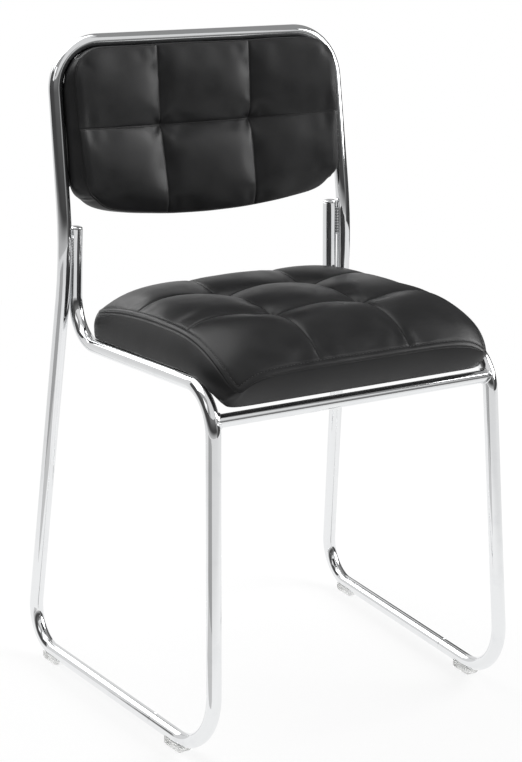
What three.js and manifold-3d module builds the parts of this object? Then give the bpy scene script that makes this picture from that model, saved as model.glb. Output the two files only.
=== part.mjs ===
// Sled base visitor chair: a bent chromed tube frame with a quilted seat and back pad.
// Millimetres, +Z up, the front of the chair towards -Y, the floor at Z = 0.
// Left is the -X side, as seen by someone who stands in front of the chair.
import * as THREE from 'three';
import { mergeVertices } from 'three/addons/utils/BufferGeometryUtils.js';
import Module from 'manifold-3d';

const wasm = await Module();
wasm.setup();

// Driving dimensions
const overallHeight = 820; // floor to the top of the hoop
const fit = 0.3; // clearance between pieces that lie on or in each other
const overrun = 4; // how far a cutter passes the face that it cuts
const sides = [['left', -1], ['right', 1]];
const ends = [['front', -1], ['rear', 1]];

// Frame tube. Corners are those of the centreline before its bends are rounded.
const tubeOd = 18;
const tubeWall = 1.2;
const baseLength = 445; // floor rail, front corner to rear corner
const rearBaseHalf = 239; // half spacing of the floor rails at their rear corners
const floorRailSplay = 27; // each one's front corner lies this far further in
const railFrontHeight = 455;
const railRearHeight = 437.5;
const frontLegRake = 28.5; // the front leg's top lies this far behind its foot
const stubTopHeight = 585; // top of the end plug
const stubSpacing = 18.6; // centre of the upturned end to centre of the upright beside it
const stubSetback = 4.4; // how far behind the upright it stands
const stubSplay = 3.2; // its foot lies this far further out
const stubRake = 3; // and this far further back
const kinkHeight = 552; // corner between the rear leg and the upright
const rearLegSplay = 29; // that corner lies this far further in than the leg's foot
const kinkForward = 74; // ahead of the rear floor corner
const uprightSplay = 4.7; // and the upright's top this far further in again
const hoopForward = 38.5; // the top bar, ahead of the rear floor corner
const frontFloorBend = 76; // centreline radii
const rearFloorBend = 50;
const seatBend = 55;
const kinkBend = 440;
const hoopBend = 62;
const railJointShare = 0.3; // place of the floor rail's joint, from its front corner
const sleeveLength = 60;
const sleeveWall = 2;
const crossbarOd = 16;
const crossbarWall = 1.2;
const frontCrossbarDrop = 37; // below the seat rail's front corner
const rearCrossbarPlace = 79.5; // along the seat rail from its rear corner

const plug = { insert: 11, dome: 4, domeShares: [0.35, 0.7, 0.92] };
const glide = { length: 32, width: 15, corner: 4, thickness: 5, lip: 5, pegRadius: 2.2, pegRise: 4.5 };
const glideInset = { front: 80, rear: 60 }; // from the floor rail's corners
const weld = { radius: 1.7, low: 536, high: 574 };

// Screws, tee nuts and tabs
const screw = { radius: 3, headRadius: 6, headHeight: 3.6, rimShare: 0.4, flatShare: 0.62, tip: 1 };
const teeNut = { radius: 4.3, flangeRadius: 9, flange: 1.4 };
const tab = { length: 24, seatReach: 27, backReach: 40, thickness: 3, corner: 4 };
const tabHoleShare = 0.44; // of the tab's reach, from its free edge

// Seat. Its frame starts at the front corner of the rails and lies in the plane of their tops.
const seat = {
  weltFront: -23, weltRearGap: 41.5, weltCorners: [9, 14], weltInset: 9.5, baseOut: 0.5,
  baseFront: -8, baseRearGap: 35.5, baseCorners: [38, 32],
  boxing: 42, crown: 64, seamXShare: 0.34, seamYShares: [0.326, 0.688],
  channel: 4, channelWidth: 15, tuft: 3.5, tuftWidth: 24, puff: 1, drawIn: 3, sideBulge: 4, fullness: 4.5,
  cornerTuck: 12, cornerDrop: 3, tuckLength: 0.18, tuckWidth: 0.3,
  wall: 2.7, quilt: 17, board: 10, boardDrop: 12, lipDrop: 31,
  tabInset: 95, rearTabInset: 130,
};
// Height of the seam round the top panel along the cushion's sides: [share of length, share of boxing]
const seatEdgeShares = [
  [0, -0.2], [0.077, 0.3], [0.152, 0.62], [0.298, 0.92], [0.479, 1.01],
  [0.655, 1.01], [0.827, 0.93], [0.961, 0.79], [1, 0.72],
];
// Height of the crown along the middle: [share of length, share of crown]
const seatCrestShares = [
  [0, 0.12], [0.024, 0.24], [0.083, 0.53], [0.188, 0.82], [0.321, 0.95], [0.5, 1],
  [0.679, 1.03], [0.842, 1.03], [0.917, 0.98], [0.961, 0.89], [1, 0.64],
];
const dustCover = { thickness: 0.6, sideInset: 38, front: 62, rearInset: 20, corner: 12 };

// Back pad. Its frame starts at the kink, with y up the upright and z towards the sitter.
const back = {
  low: 37, topGap: 0.6, sideInset: 8.3, corners: [42, 42], bow: 20.5, faceSplay: 0.043, splayRoot: 0.25,
  baseGap: 0.6, baseLowInset: 1.5, baseTopInset: 2.5, baseCorners: [46, 60],
  face: 27, rear: 2, sag: 8, seamXShare: 0.348, seamYShare: 0.532,
  channel: 5.5, channelWidth: 16, edgeChannelShare: 0.35, tuft: 3, tuftWidth: 28, puff: 5,
  edgeBulge: 4, endBulgeShare: 0.5,
  wall: 2.7, quilt: 10.5, board: 9, rearPanel: 1.6,
  lowTabShare: 0.27, highTabShare: 0.76,
};
const gridShares = [0, 0.1, 0.26, 0.5, 0.74, 0.9]; // places of the grid lines in each panel
const ringShares = [0.28, 0.65, 1]; // places of the rings down a pad's sides
const fadeRate = { side: 3, end: 6 }; // how fast the quilting comes in from a pad's edges

const materials = {
  chrome: new THREE.MeshStandardMaterial({ color: 0xd9dbdd, metalness: 1, roughness: 0.07 }),
  leatherette: new THREE.MeshStandardMaterial({ color: 0x262627, metalness: 0, roughness: 0.42 }),
  clearPlastic: new THREE.MeshStandardMaterial({ color: 0xe4e6e4, metalness: 0, roughness: 0.3 }),
  zincSteel: new THREE.MeshStandardMaterial({ color: 0xa9acae, metalness: 1, roughness: 0.35 }),
  plywood: new THREE.MeshStandardMaterial({ color: 0xb99868, metalness: 0, roughness: 0.7 }),
  foam: new THREE.MeshStandardMaterial({ color: 0xd8cfa8, metalness: 0, roughness: 0.95 }),
  nonWoven: new THREE.MeshStandardMaterial({ color: 0x161616, metalness: 0, roughness: 0.95 }),
  rearPanel: new THREE.MeshStandardMaterial({ color: 0x1d1d1e, metalness: 0, roughness: 0.5 }),
};

// Solids and cuts
function solid(geometry) {
  const plain = geometry.clone();
  plain.deleteAttribute('normal');
  plain.deleteAttribute('uv');
  const merged = mergeVertices(plain);
  return new wasm.Manifold(new wasm.Mesh({
    numProp: 3,
    vertProperties: new Float32Array(merged.attributes.position.array),
    triVerts: new Uint32Array(merged.index.array),
  }));
}

function geometryOf(body) {
  const mesh = body.getMesh();
  const geometry = new THREE.BufferGeometry();
  geometry.setAttribute('position', new THREE.BufferAttribute(new Float32Array(mesh.vertProperties), 3));
  geometry.setIndex(new THREE.BufferAttribute(new Uint32Array(mesh.triVerts), 1));
  return geometry;
}

function cut(body, ...cutters) {
  return geometryOf(cutters.reduce((left, cutter) => left.subtract(solid(cutter)), solid(body)));
}

function rod(radius, length, segments = 16) {
  // A cylinder along Z from z = 0
  return new THREE.CylinderGeometry(radius, radius, length, segments)
    .rotateX(Math.PI / 2)
    .translate(0, 0, length / 2);
}

function turned(profile, segments = 16) {
  // A turned solid round Z from [radius, height] pairs, lowest first
  return new THREE.LatheGeometry(profile.map(([r, z]) => new THREE.Vector2(r, z)), segments)
    .rotateX(Math.PI / 2);
}

function roundedPlate(x0, x1, y0, y1, corner, thickness) {
  const shape = new THREE.Shape();
  shape.moveTo(x0 + corner, y0);
  shape.lineTo(x1 - corner, y0);
  shape.absarc(x1 - corner, y0 + corner, corner, -Math.PI / 2, 0);
  shape.lineTo(x1, y1 - corner);
  shape.absarc(x1 - corner, y1 - corner, corner, 0, Math.PI / 2);
  shape.lineTo(x0 + corner, y1);
  shape.absarc(x0 + corner, y1 - corner, corner, Math.PI / 2, Math.PI);
  shape.lineTo(x0, y0 + corner);
  shape.absarc(x0 + corner, y0 + corner, corner, Math.PI, 1.5 * Math.PI);
  return new THREE.ExtrudeGeometry(shape, { depth: thickness, bevelEnabled: false, curveSegments: 4 });
}

function prism(points, depth) {
  const shape = new THREE.Shape(points);
  return new THREE.ExtrudeGeometry(shape, { depth, bevelEnabled: false });
}

// Bent tubes
class BentPath extends THREE.Curve {
  // Straight runs between corners, joined by circular bends. Its stations are evenly numbered.
  constructor(corners, radii, bendStep = Math.PI / 15) {
    super();
    this.stations = [];
    const last = corners.length - 1;
    const run = (i) => corners[i + 1].clone().sub(corners[i]).normalize();
    this.stations.push({ point: corners[0].clone(), tangent: run(0) });
    for (let i = 1; i < last; i++) {
      const [into, out] = [run(i - 1), run(i)];
      const angle = into.angleTo(out);
      const setback = radii[i - 1] * Math.tan(angle / 2);
      const start = corners[i].clone().addScaledVector(into, -setback);
      const inward = out.clone().addScaledVector(into, -out.dot(into)).normalize();
      const steps = Math.max(2, Math.ceil(angle / bendStep));
      for (let k = 0; k <= steps; k++) {
        const turn = angle * k / steps;
        const point = start.clone()
          .addScaledVector(into, radii[i - 1] * Math.sin(turn))
          .addScaledVector(inward, radii[i - 1] * (1 - Math.cos(turn)));
        const tangent = into.clone().multiplyScalar(Math.cos(turn))
          .addScaledVector(inward, Math.sin(turn));
        this.stations.push({ point, tangent });
      }
    }
    this.stations.push({ point: corners[last].clone(), tangent: run(last - 1) });
  }

  get steps() {
    return this.stations.length - 1;
  }

  getPointAt(u, target = new THREE.Vector3()) {
    const place = Math.min(u, 1) * this.steps;
    const i = Math.min(Math.floor(place + 1e-9), this.steps);
    const next = this.stations[Math.min(i + 1, this.steps)];
    return target.copy(this.stations[i].point).lerp(next.point, Math.max(0, place - i));
  }

  getTangentAt(u, target = new THREE.Vector3()) {
    return target.copy(this.stations[Math.round(Math.min(u, 1) * this.steps)].tangent);
  }

  atHeight(z, from = 0) {
    // The place where the path first passes this height, from this station on
    for (let i = from; i < this.steps; i++) {
      const [a, b] = [this.stations[i].point, this.stations[i + 1].point];
      if ((a.z - z) * (b.z - z) <= 0 && a.z !== b.z) {
        return a.clone().lerp(b, (z - a.z) / (b.z - a.z));
      }
    }
    throw new Error('the path does not reach this height');
  }
}

function tubeAlong(path, outer, inner = 0) {
  const shape = new THREE.Shape();
  shape.absarc(0, 0, outer, 0, 2 * Math.PI);
  if (inner > 0) {
    const bore = new THREE.Path();
    bore.absarc(0, 0, inner, 0, 2 * Math.PI, true);
    shape.holes.push(bore);
  }
  return new THREE.ExtrudeGeometry(shape, {
    steps: path.steps, curveSegments: 6, bevelEnabled: false, extrudePath: path,
  });
}

function alongDirection(geometry, place, direction) {
  // Turns a solid made along Z to this direction and moves its start to this place
  const turn = new THREE.Quaternion().setFromUnitVectors(new THREE.Vector3(0, 0, 1), direction);
  return geometry.applyQuaternion(turn).translate(place.x, place.y, place.z);
}

// Soft forms
function along(table, share) {
  // Smooth height at this share of the length, from [share, height] pairs
  let i = 0;
  while (i < table.length - 2 && share > table[i + 1][0]) i++;
  const slope = (k) => {
    const [a, b] = [table[Math.max(k - 1, 0)], table[Math.min(k + 1, table.length - 1)]];
    return (b[1] - a[1]) / (b[0] - a[0]);
  };
  const [a, b] = [table[i], table[i + 1]];
  const span = b[0] - a[0];
  const t = THREE.MathUtils.clamp((share - a[0]) / span, 0, 1);
  return a[1] * (1 + 2 * t) * (1 - t) ** 2 + b[1] * t * t * (3 - 2 * t)
    + span * (slope(i) * t * (1 - t) ** 2 - slope(i + 1) * t * t * (1 - t));
}

function gridLines(stops) {
  const lines = [];
  for (let i = 0; i < stops.length - 1; i++) {
    for (const share of gridShares) lines.push(stops[i] + (stops[i + 1] - stops[i]) * share);
  }
  lines.push(stops[stops.length - 1]);
  return lines;
}

function roundCorner(x, y, bounds, corners, inset) {
  // Draws the corners of a rectangle in to its two radii and leaves its edges and middle where they are
  const middle = (bounds.y0 + bounds.y1) / 2;
  const corner = corners[y < middle ? 0 : 1] - inset;
  const dx = Math.abs(x) - (bounds.half - corner);
  const dy = Math.abs(y - middle) - ((bounds.y1 - bounds.y0) / 2 - corner);
  if (dx <= 0 || dy <= 0) return [x, y];
  const pull = 1 - Math.max(dx, dy) / Math.hypot(dx, dy);
  return [x - Math.sign(x) * dx * pull, y - Math.sign(y - middle) * dy * pull];
}

function stitched(a, b) {
  // Triangles between two lines of vertices that run the same way
  const triangles = [];
  const [lastA, lastB] = [a.length - 1, b.length - 1];
  for (let i = 0, j = 0; i < lastA || j < lastB;) {
    if (j === lastB || (i < lastA && (i + 1) / lastA <= (j + 1) / lastB)) {
      triangles.push(a[i], b[j], a[i + 1]);
      i++;
    } else {
      triangles.push(a[i], b[j], b[j + 1]);
      j++;
    }
  }
  return triangles;
}

function quilted(xLines, yLines, topPoint, ringPoints, foldedInY) {
  // A closed form: a top panel on grid lines, rings down its sides and a face that closes it in strips
  const [nx, ny] = [xLines.length, yLines.length];
  const vertices = [];
  const triangles = [];
  for (const y of yLines) for (const x of xLines) vertices.push(...topPoint(x, y));
  for (let j = 0; j < ny - 1; j++) {
    for (let i = 0; i < nx - 1; i++) {
      const a = j * nx + i;
      triangles.push(a, a + 1, a + nx + 1, a, a + nx + 1, a + nx);
    }
  }
  const rim = [];
  for (let i = 0; i < nx - 1; i++) rim.push([i, 0]);
  for (let j = 0; j < ny - 1; j++) rim.push([nx - 1, j]);
  for (let i = nx - 1; i > 0; i--) rim.push([i, ny - 1]);
  for (let j = ny - 1; j > 0; j--) rim.push([0, j]);
  let upper = rim.map(([i, j]) => j * nx + i);
  for (const ringPoint of ringPoints) {
    const first = vertices.length / 3;
    rim.forEach(([i, j], k) => {
      vertices.push(...ringPoint(xLines[i], yLines[j], vertices.slice(3 * upper[k], 3 * upper[k] + 3)));
    });
    const lower = rim.map((_, k) => first + k);
    rim.forEach((_, k) => {
      const n = (k + 1) % rim.length;
      triangles.push(upper[k], lower[n], upper[n], upper[k], lower[k], lower[n]);
    });
    upper = lower;
  }
  const rimPlace = new Map(rim.map(([i, j], k) => [`${i} ${j}`, upper[k]]));
  const across = Array.from({ length: foldedInY ? ny : nx }, (_, k) => k);
  const lines = across.map((k) => {
    const edge = Array.from({ length: foldedInY ? nx : ny }, (_, n) => (foldedInY ? [n, k] : [k, n]));
    return edge.map(([i, j]) => rimPlace.get(`${i} ${j}`)).filter((v) => v !== undefined);
  });
  for (const k of across.slice(1)) {
    triangles.push(...(foldedInY ? stitched(lines[k - 1], lines[k]) : stitched(lines[k], lines[k - 1])));
  }
  const geometry = new THREE.BufferGeometry();
  geometry.setAttribute('position', new THREE.Float32BufferAttribute(vertices, 3));
  geometry.setIndex(triangles);
  return geometry;
}

function channelDepth(x, y, form) {
  // Sewn channels along the seams, deeper where two of them are tufted down
  const nearX = Math.min(...form.seams.x.map((s) => Math.abs(x - s)));
  const nearY = Math.min(...form.seams.y.map((s) => Math.abs(y - s)));
  const groove = (d) => Math.exp(-d / form.channelWidth);
  const puff = (1 - groove(nearX)) * (1 - groove(nearY));
  const dip = Math.max(groove(nearX), groove(nearY));
  return form.channel * dip + form.tuft * Math.exp(-((nearX ** 2 + nearY ** 2) / form.tuftWidth ** 2))
    - form.puff * puff;
}

const frontBaseHalf = rearBaseHalf - floorRailSplay;
const kinkHalf = rearBaseHalf - rearLegSplay;
const hoopHalf = kinkHalf - uprightSplay;
const tubeRadius = tubeOd / 2;
const tubeBore = tubeRadius - tubeWall;
const floorAxis = tubeRadius + glide.thickness;
const hoopAxis = overallHeight - tubeRadius;
const frontY = -baseLength / 2;
const rearY = baseLength / 2;
const railFrontY = frontY + frontLegRake;
const kinkY = rearY - kinkForward;
const hoopY = rearY - hoopForward;
const lean = Math.atan2(hoopY - kinkY, hoopAxis - kinkHeight);
const uprightLength = (hoopAxis - kinkHeight) / Math.cos(lean);

const uprightHalf = (y) => THREE.MathUtils.lerp(kinkHalf, hoopHalf, y / uprightLength);

const corner = {
  floorFront: (side) => new THREE.Vector3(side * frontBaseHalf, frontY, floorAxis),
  floorRear: (side) => new THREE.Vector3(side * rearBaseHalf, rearY, floorAxis),
  kink: (side) => new THREE.Vector3(side * kinkHalf, kinkY, kinkHeight),
  hoop: (side) => new THREE.Vector3(side * hoopHalf, hoopY, hoopAxis),
};
const uprightPath = (side) => new BentPath(
  [corner.floorRear(side), corner.kink(side), corner.hoop(side)],
  [kinkBend],
);
const stubTop = uprightPath(1).atHeight(stubTopHeight - plug.dome);
stubTop.x -= Math.sqrt(stubSpacing ** 2 - stubSetback ** 2);
stubTop.y += stubSetback;
const railHalf = stubTop.x + stubSplay;
const railRearY = stubTop.y + stubRake;
const railTilt = Math.atan2(railFrontHeight - railRearHeight, railRearY - railFrontY);
const railLength = (railRearY - railFrontY) / Math.cos(railTilt);
Object.assign(corner, {
  stub: (side) => new THREE.Vector3(side * stubTop.x, stubTop.y, stubTop.z),
  railRear: (side) => new THREE.Vector3(side * railHalf, railRearY, railRearHeight),
  railFront: (side) => new THREE.Vector3(side * railHalf, railFrontY, railFrontHeight),
});
const railRun = (side) => corner.floorRear(side).sub(corner.floorFront(side)).normalize();
Object.assign(seat, {
  weltHalf: railHalf - seat.weltInset,
  baseHalf: railHalf + seat.baseOut,
  weltRear: railLength - seat.weltRearGap,
  baseRear: railLength - seat.baseRearGap,
});
seat.weltLength = seat.weltRear - seat.weltFront;
seat.seams = {
  x: [-1, 1].map((side) => side * seat.weltHalf * seat.seamXShare),
  y: seat.seamYShares.map((share) => seat.weltFront + seat.weltLength * share),
};
Object.assign(back, {
  half: hoopHalf - tubeRadius - back.sideInset,
  high: uprightLength - tubeRadius - back.topGap,
  baseHalfAt: (y) => uprightHalf(y) - tubeRadius - back.baseGap,
  baseLow: back.low + back.baseLowInset,
});
back.baseHigh = back.high - back.baseTopInset;
back.baseHalf = back.baseHalfAt(back.low); // its widest place
back.seams = {
  x: [-1, 1].map((side) => side * back.half * back.seamXShare),
  y: [THREE.MathUtils.lerp(back.low, back.high, back.seamYShare)],
};

const joint = (side, shift = 0) => corner.floorFront(side)
  .lerp(corner.floorRear(side), railJointShare)
  .addScaledVector(railRun(side), shift);

const sidePath = (side) => new BentPath(
  [corner.stub(side), corner.railRear(side), corner.railFront(side), corner.floorFront(side),
    joint(side, -fit / 2)],
  [seatBend, seatBend, frontFloorBend],
);
const hoopPath = new BentPath(
  [joint(-1, fit / 2), corner.floorRear(-1), corner.kink(-1), corner.hoop(-1),
    corner.hoop(1), corner.kink(1), corner.floorRear(1), joint(1, fit / 2)],
  [rearFloorBend, kinkBend, hoopBend, hoopBend, kinkBend, rearFloorBend],
);

const seatBendFirst = sidePath(1).stations.findIndex(({ point }) => point.y < railFrontY + seatBend);

const chair = new THREE.Group();

function add(parent, name, geometry, material) {
  const mesh = new THREE.Mesh(geometry, material);
  mesh.name = name;
  parent.add(mesh);
  return mesh;
}

// Glides: saddles under the floor rails, with a peg through the wall of the tube
function glidePlace(side, end) {
  const start = end === 'front' ? corner.floorFront(side) : corner.floorRear(side);
  return start.addScaledVector(railRun(side), end === 'front' ? glideInset.front : -glideInset.rear);
}

function glideGeometry(side, end) {
  const place = glidePlace(side, end);
  const half = glide.length / 2;
  const saddle = roundedPlate(-glide.width / 2, glide.width / 2, -half, half, glide.corner,
    glide.thickness + glide.lip);
  const channel = rod(tubeRadius + fit, glide.length + 2 * overrun, 24)
    .rotateX(-Math.PI / 2)
    .translate(0, -half - overrun, floorAxis);
  const pegLength = glide.thickness + tubeWall + glide.pegRise;
  const peg = rod(glide.pegRadius, pegLength - glide.thickness / 2, 12)
    .translate(0, 0, glide.thickness / 2);
  const body = geometryOf(solid(cut(saddle, channel)).add(solid(peg)));
  const run = railRun(side);
  return body.rotateZ(Math.atan2(-run.x, run.y)).translate(place.x, place.y, 0);
}

function pegHole(side, end) {
  const place = glidePlace(side, end);
  return rod(glide.pegRadius + fit, floorAxis, 12).translate(place.x, place.y, 0);
}

function addFrame() {
  const hoop = tubeAlong(hoopPath, tubeRadius, tubeBore);
  add(chair, 'back_hoop_tube', cut(hoop, pegHole(-1, 'rear'), pegHole(1, 'rear')), materials.chrome);
  for (const [name, side] of sides) {
    const loop = tubeAlong(sidePath(side), tubeRadius, tubeBore);
    add(chair, `side_tube_${name}`, cut(loop, pegHole(side, 'front')), materials.chrome);

    const sleevePath = new BentPath([joint(side, -sleeveLength / 2), joint(side, sleeveLength / 2)], []);
    const sleeveRadius = tubeBore - fit;
    add(chair, `rail_sleeve_${name}`, tubeAlong(sleevePath, sleeveRadius, sleeveRadius - sleeveWall),
      materials.zincSteel);

    const stub = sidePath(side).stations[0];
    const plugRadius = tubeBore - fit;
    const dome = plug.domeShares.map((share) => [
      tubeRadius * Math.cos(share * Math.PI / 2), fit + (plug.dome - fit) * Math.sin(share * Math.PI / 2),
    ]);
    const plugProfile = [[0, -plug.insert], [plugRadius, -plug.insert], [plugRadius, fit],
      [tubeRadius, fit], ...dome, [0, plug.dome]];
    add(chair, `end_plug_${name}`,
      alongDirection(turned(plugProfile), stub.point, stub.tangent.clone().negate()), materials.chrome);

    for (const [end] of ends) {
      add(chair, `glide_${name}_${end}`, glideGeometry(side, end), materials.clearPlastic);
    }
    for (const [end, facing] of ends) {
      add(chair, `stub_weld_${name}_${end}`, weldGeometry(side, facing), materials.chrome);
    }
  }

  const legs = sides.map(([, side]) => tubeAlong(sidePath(side), tubeRadius + fit));
  const frontBar = crossbar(sidePath(1), railFrontHeight - frontCrossbarDrop);
  add(chair, 'front_crossbar', cut(frontBar, ...legs), materials.chrome);
  const rearBar = straightBar(railHalf,
    railRearY - rearCrossbarPlace * Math.cos(railTilt),
    railRearHeight + rearCrossbarPlace * Math.sin(railTilt));
  add(chair, 'rear_crossbar', cut(rearBar, ...legs), materials.chrome);
}

function straightBar(half, y, z) {
  const path = new BentPath([new THREE.Vector3(-half, y, z), new THREE.Vector3(half, y, z)], []);
  return tubeAlong(path, crossbarOd / 2, crossbarOd / 2 - crossbarWall);
}

function crossbar(path, height) {
  // A bar between the side tubes, at the place where the front bend passes this height
  const place = path.atHeight(height, seatBendFirst);
  return straightBar(place.x, place.y, height);
}

function weldGeometry(side, facing) {
  // A bead in the groove between the upturned end and the upright
  const [stub, upright] = [sidePath(side), uprightPath(side)];
  const seatAt = (z) => {
    const [a, b] = [stub.atHeight(z), upright.atHeight(z)];
    const reach = tubeRadius + fit + weld.radius;
    const gap = b.clone().sub(a);
    const half = gap.length() / 2;
    const across = new THREE.Vector3(-gap.y, gap.x, 0).normalize();
    if (across.y * facing < 0) across.negate();
    return a.lerp(b, 0.5).addScaledVector(across, Math.sqrt(Math.max(0, reach ** 2 - half ** 2)));
  };
  const path = new BentPath([seatAt(weld.low), seatAt(weld.high)], []);
  return tubeAlong(path, weld.radius);
}

// Screws point along +Z from under their head, which lies on z = 0
function screwGeometry(length) {
  const rim = screw.headHeight * screw.rimShare;
  return turned([
    [0, -screw.headHeight], [screw.headRadius * screw.flatShare, -screw.headHeight],
    [screw.headRadius, -rim], [screw.headRadius, 0], [screw.radius, 0],
    [screw.radius, length - screw.tip], [screw.radius - screw.tip, length], [0, length],
  ]);
}

function teeNutGeometry(depth) {
  // Its flange lies on z = 0 and its barrel points down
  const bore = screw.radius + fit;
  const outline = [[bore, -depth], [teeNut.radius, -depth], [teeNut.radius, -teeNut.flange],
    [teeNut.flangeRadius, -teeNut.flange], [teeNut.flangeRadius, 0], [bore, 0], [bore, -depth]];
  return turned(outline);
}

function nutHole(x, y, top, depth) {
  const barrel = rod(teeNut.radius + fit, depth + 2 * overrun).translate(x, y, top - depth - overrun);
  const pocket = rod(teeNut.flangeRadius + fit, teeNut.flange + fit + overrun)
    .translate(x, y, top - teeNut.flange - fit);
  return [barrel, pocket];
}

// Seat
const seatBendAngle = corner.railRear(1).sub(corner.railFront(1))
  .angleTo(corner.floorFront(1).sub(corner.railFront(1)));
const bendCentre = { y: seatBend / Math.tan(seatBendAngle / 2), z: -tubeRadius - seatBend };
const baseReach = seatBend + tubeRadius + fit;

function seatBase(y) {
  // Underside of the board, above the tops of the rails and then round their front bend
  const ahead = THREE.MathUtils.clamp(bendCentre.y - y, 0, seatLipReach);
  return bendCentre.z + Math.sqrt(baseReach ** 2 - ahead ** 2);
}
const bendSteps = 8;
const reachAt = (drop) => Math.sqrt(baseReach ** 2 - (-drop - bendCentre.z) ** 2);
const seatLipReach = reachAt(seat.lipDrop);
const boardLipY = bendCentre.y - reachAt(seat.boardDrop);

function fade(shareX, shareY) {
  // 1 over the middle of a pad and 0 at its edges
  const fromSide = fadeRate.side * (1 - shareX);
  const fromEnd = fadeRate.end * Math.min(shareY, 1 - shareY);
  return THREE.MathUtils.clamp(Math.min(fromSide, fromEnd), 0, 1);
}

function seatTop(x, y, deep = 1) {
  const share = (y - seat.weltFront) / seat.weltLength;
  const edge = along(seatEdgeShares, share) * seat.boxing;
  const crest = along(seatCrestShares, share) * seat.crown;
  const shareX = Math.min(1, Math.abs(x) / seat.weltHalf);
  const rise = THREE.MathUtils.lerp(edge, crest, 1 - shareX ** seat.fullness);
  return rise - deep * fade(shareX, share) * channelDepth(x, y, seat);
}

function seatForm(inset, drop, floor, deep, xLines, yLines) {
  const shareOf = (y) => (y - seat.weltFront) / seat.weltLength;
  const plan = (x, y, low) => {
    const bounds = low
      ? { half: seat.baseHalf - inset, y0: seat.baseFront + inset, y1: seat.baseRear - inset }
      : { half: seat.weltHalf - inset, y0: seat.weltFront + inset, y1: seat.weltRear - inset };
    const px = x / seat.weltHalf * bounds.half;
    const py = THREE.MathUtils.lerp(bounds.y0, bounds.y1, shareOf(y));
    return roundCorner(px, py, bounds, low ? seat.baseCorners : seat.weltCorners, inset);
  };
  const tucked = (x, share) => {
    // How far the cover is tucked in here, all the way at the two front corners
    const sideways = Math.max(0, 1 - (1 - Math.abs(x) / seat.weltHalf) / seat.tuckWidth);
    return Math.max(0, 1 - share / seat.tuckLength) ** 4 * sideways ** 2;
  };
  const top = (x, y) => {
    // Each side pulls in between its corners
    const along = 2 * shareOf(y) - 1;
    const [px, py] = plan(x, y, false);
    const pulled = px * (1 - seat.drawIn / seat.weltHalf * (1 - along ** 2));
    const tuck = tucked(x, shareOf(y));
    const buried = THREE.MathUtils.lerp(inset, drop, fade(Math.abs(x) / seat.weltHalf, shareOf(y)));
    const height = seatTop(pulled, py, deep) - buried - seat.cornerDrop * tuck;
    return [pulled - Math.sign(x) * seat.cornerTuck * tuck, py, height];
  };
  const ring = (down) => (x, y) => {
    const a = top(x, y);
    const [bx, by] = plan(x, y, true);
    const bz = floor(by);
    const swell = seat.sideBulge * 4 * down * (1 - down);
    const outX = Math.abs(x) >= seat.weltHalf ? Math.sign(x) * swell : 0;
    const outY = y >= seat.weltRear ? swell : y <= seat.weltFront ? -swell : 0;
    return [
      THREE.MathUtils.lerp(a[0], bx, down) + outX,
      THREE.MathUtils.lerp(a[1], by, down) + outY,
      THREE.MathUtils.lerp(a[2], bz, down),
    ];
  };
  return quilted(xLines, yLines, top, ringShares.map(ring), true);
}

function seatSheet(low, high, front, rear, half) {
  // A sheet that follows the rails' tops and their front bend, between two heights over them
  const turn = Math.asin((bendCentre.y - front) / baseReach);
  const surface = (offset) => {
    const points = [new THREE.Vector2(rear, fit + offset)];
    for (let k = 0; k <= bendSteps; k++) {
      const angle = turn * k / bendSteps;
      points.push(new THREE.Vector2(
        bendCentre.y - (baseReach + offset) * Math.sin(angle),
        bendCentre.z + (baseReach + offset) * Math.cos(angle),
      ));
    }
    return points;
  };
  return acrossSeat([...surface(high), ...surface(low).reverse()], half);
}

function acrossSeat(outline, half) {
  // A solid with this outline in y and z, from side to side
  return prism(outline, 2 * half)
    .rotateY(Math.PI / 2)
    .rotateX(Math.PI / 2)
    .translate(-half, 0, 0);
}

function seatUnderside() {
  // Everything under the cushion: the rails' tops, their front bend and the front lip
  const bottom = -seat.lipDrop - 3 * overrun;
  const front = seat.baseFront - overrun;
  const rear = seat.baseRear + overrun;
  const outline = [new THREE.Vector2(rear, bottom), new THREE.Vector2(rear, fit)];
  for (let k = 0; k <= bendSteps; k++) {
    const ahead = seatLipReach * Math.sin(Math.PI / 2 * k / bendSteps);
    outline.push(new THREE.Vector2(bendCentre.y - ahead, seatBase(bendCentre.y - ahead)));
  }
  outline.push(new THREE.Vector2(front, -seat.lipDrop), new THREE.Vector2(front, bottom));
  return acrossSeat(outline.reverse(), seat.baseHalf + overrun);
}

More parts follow.
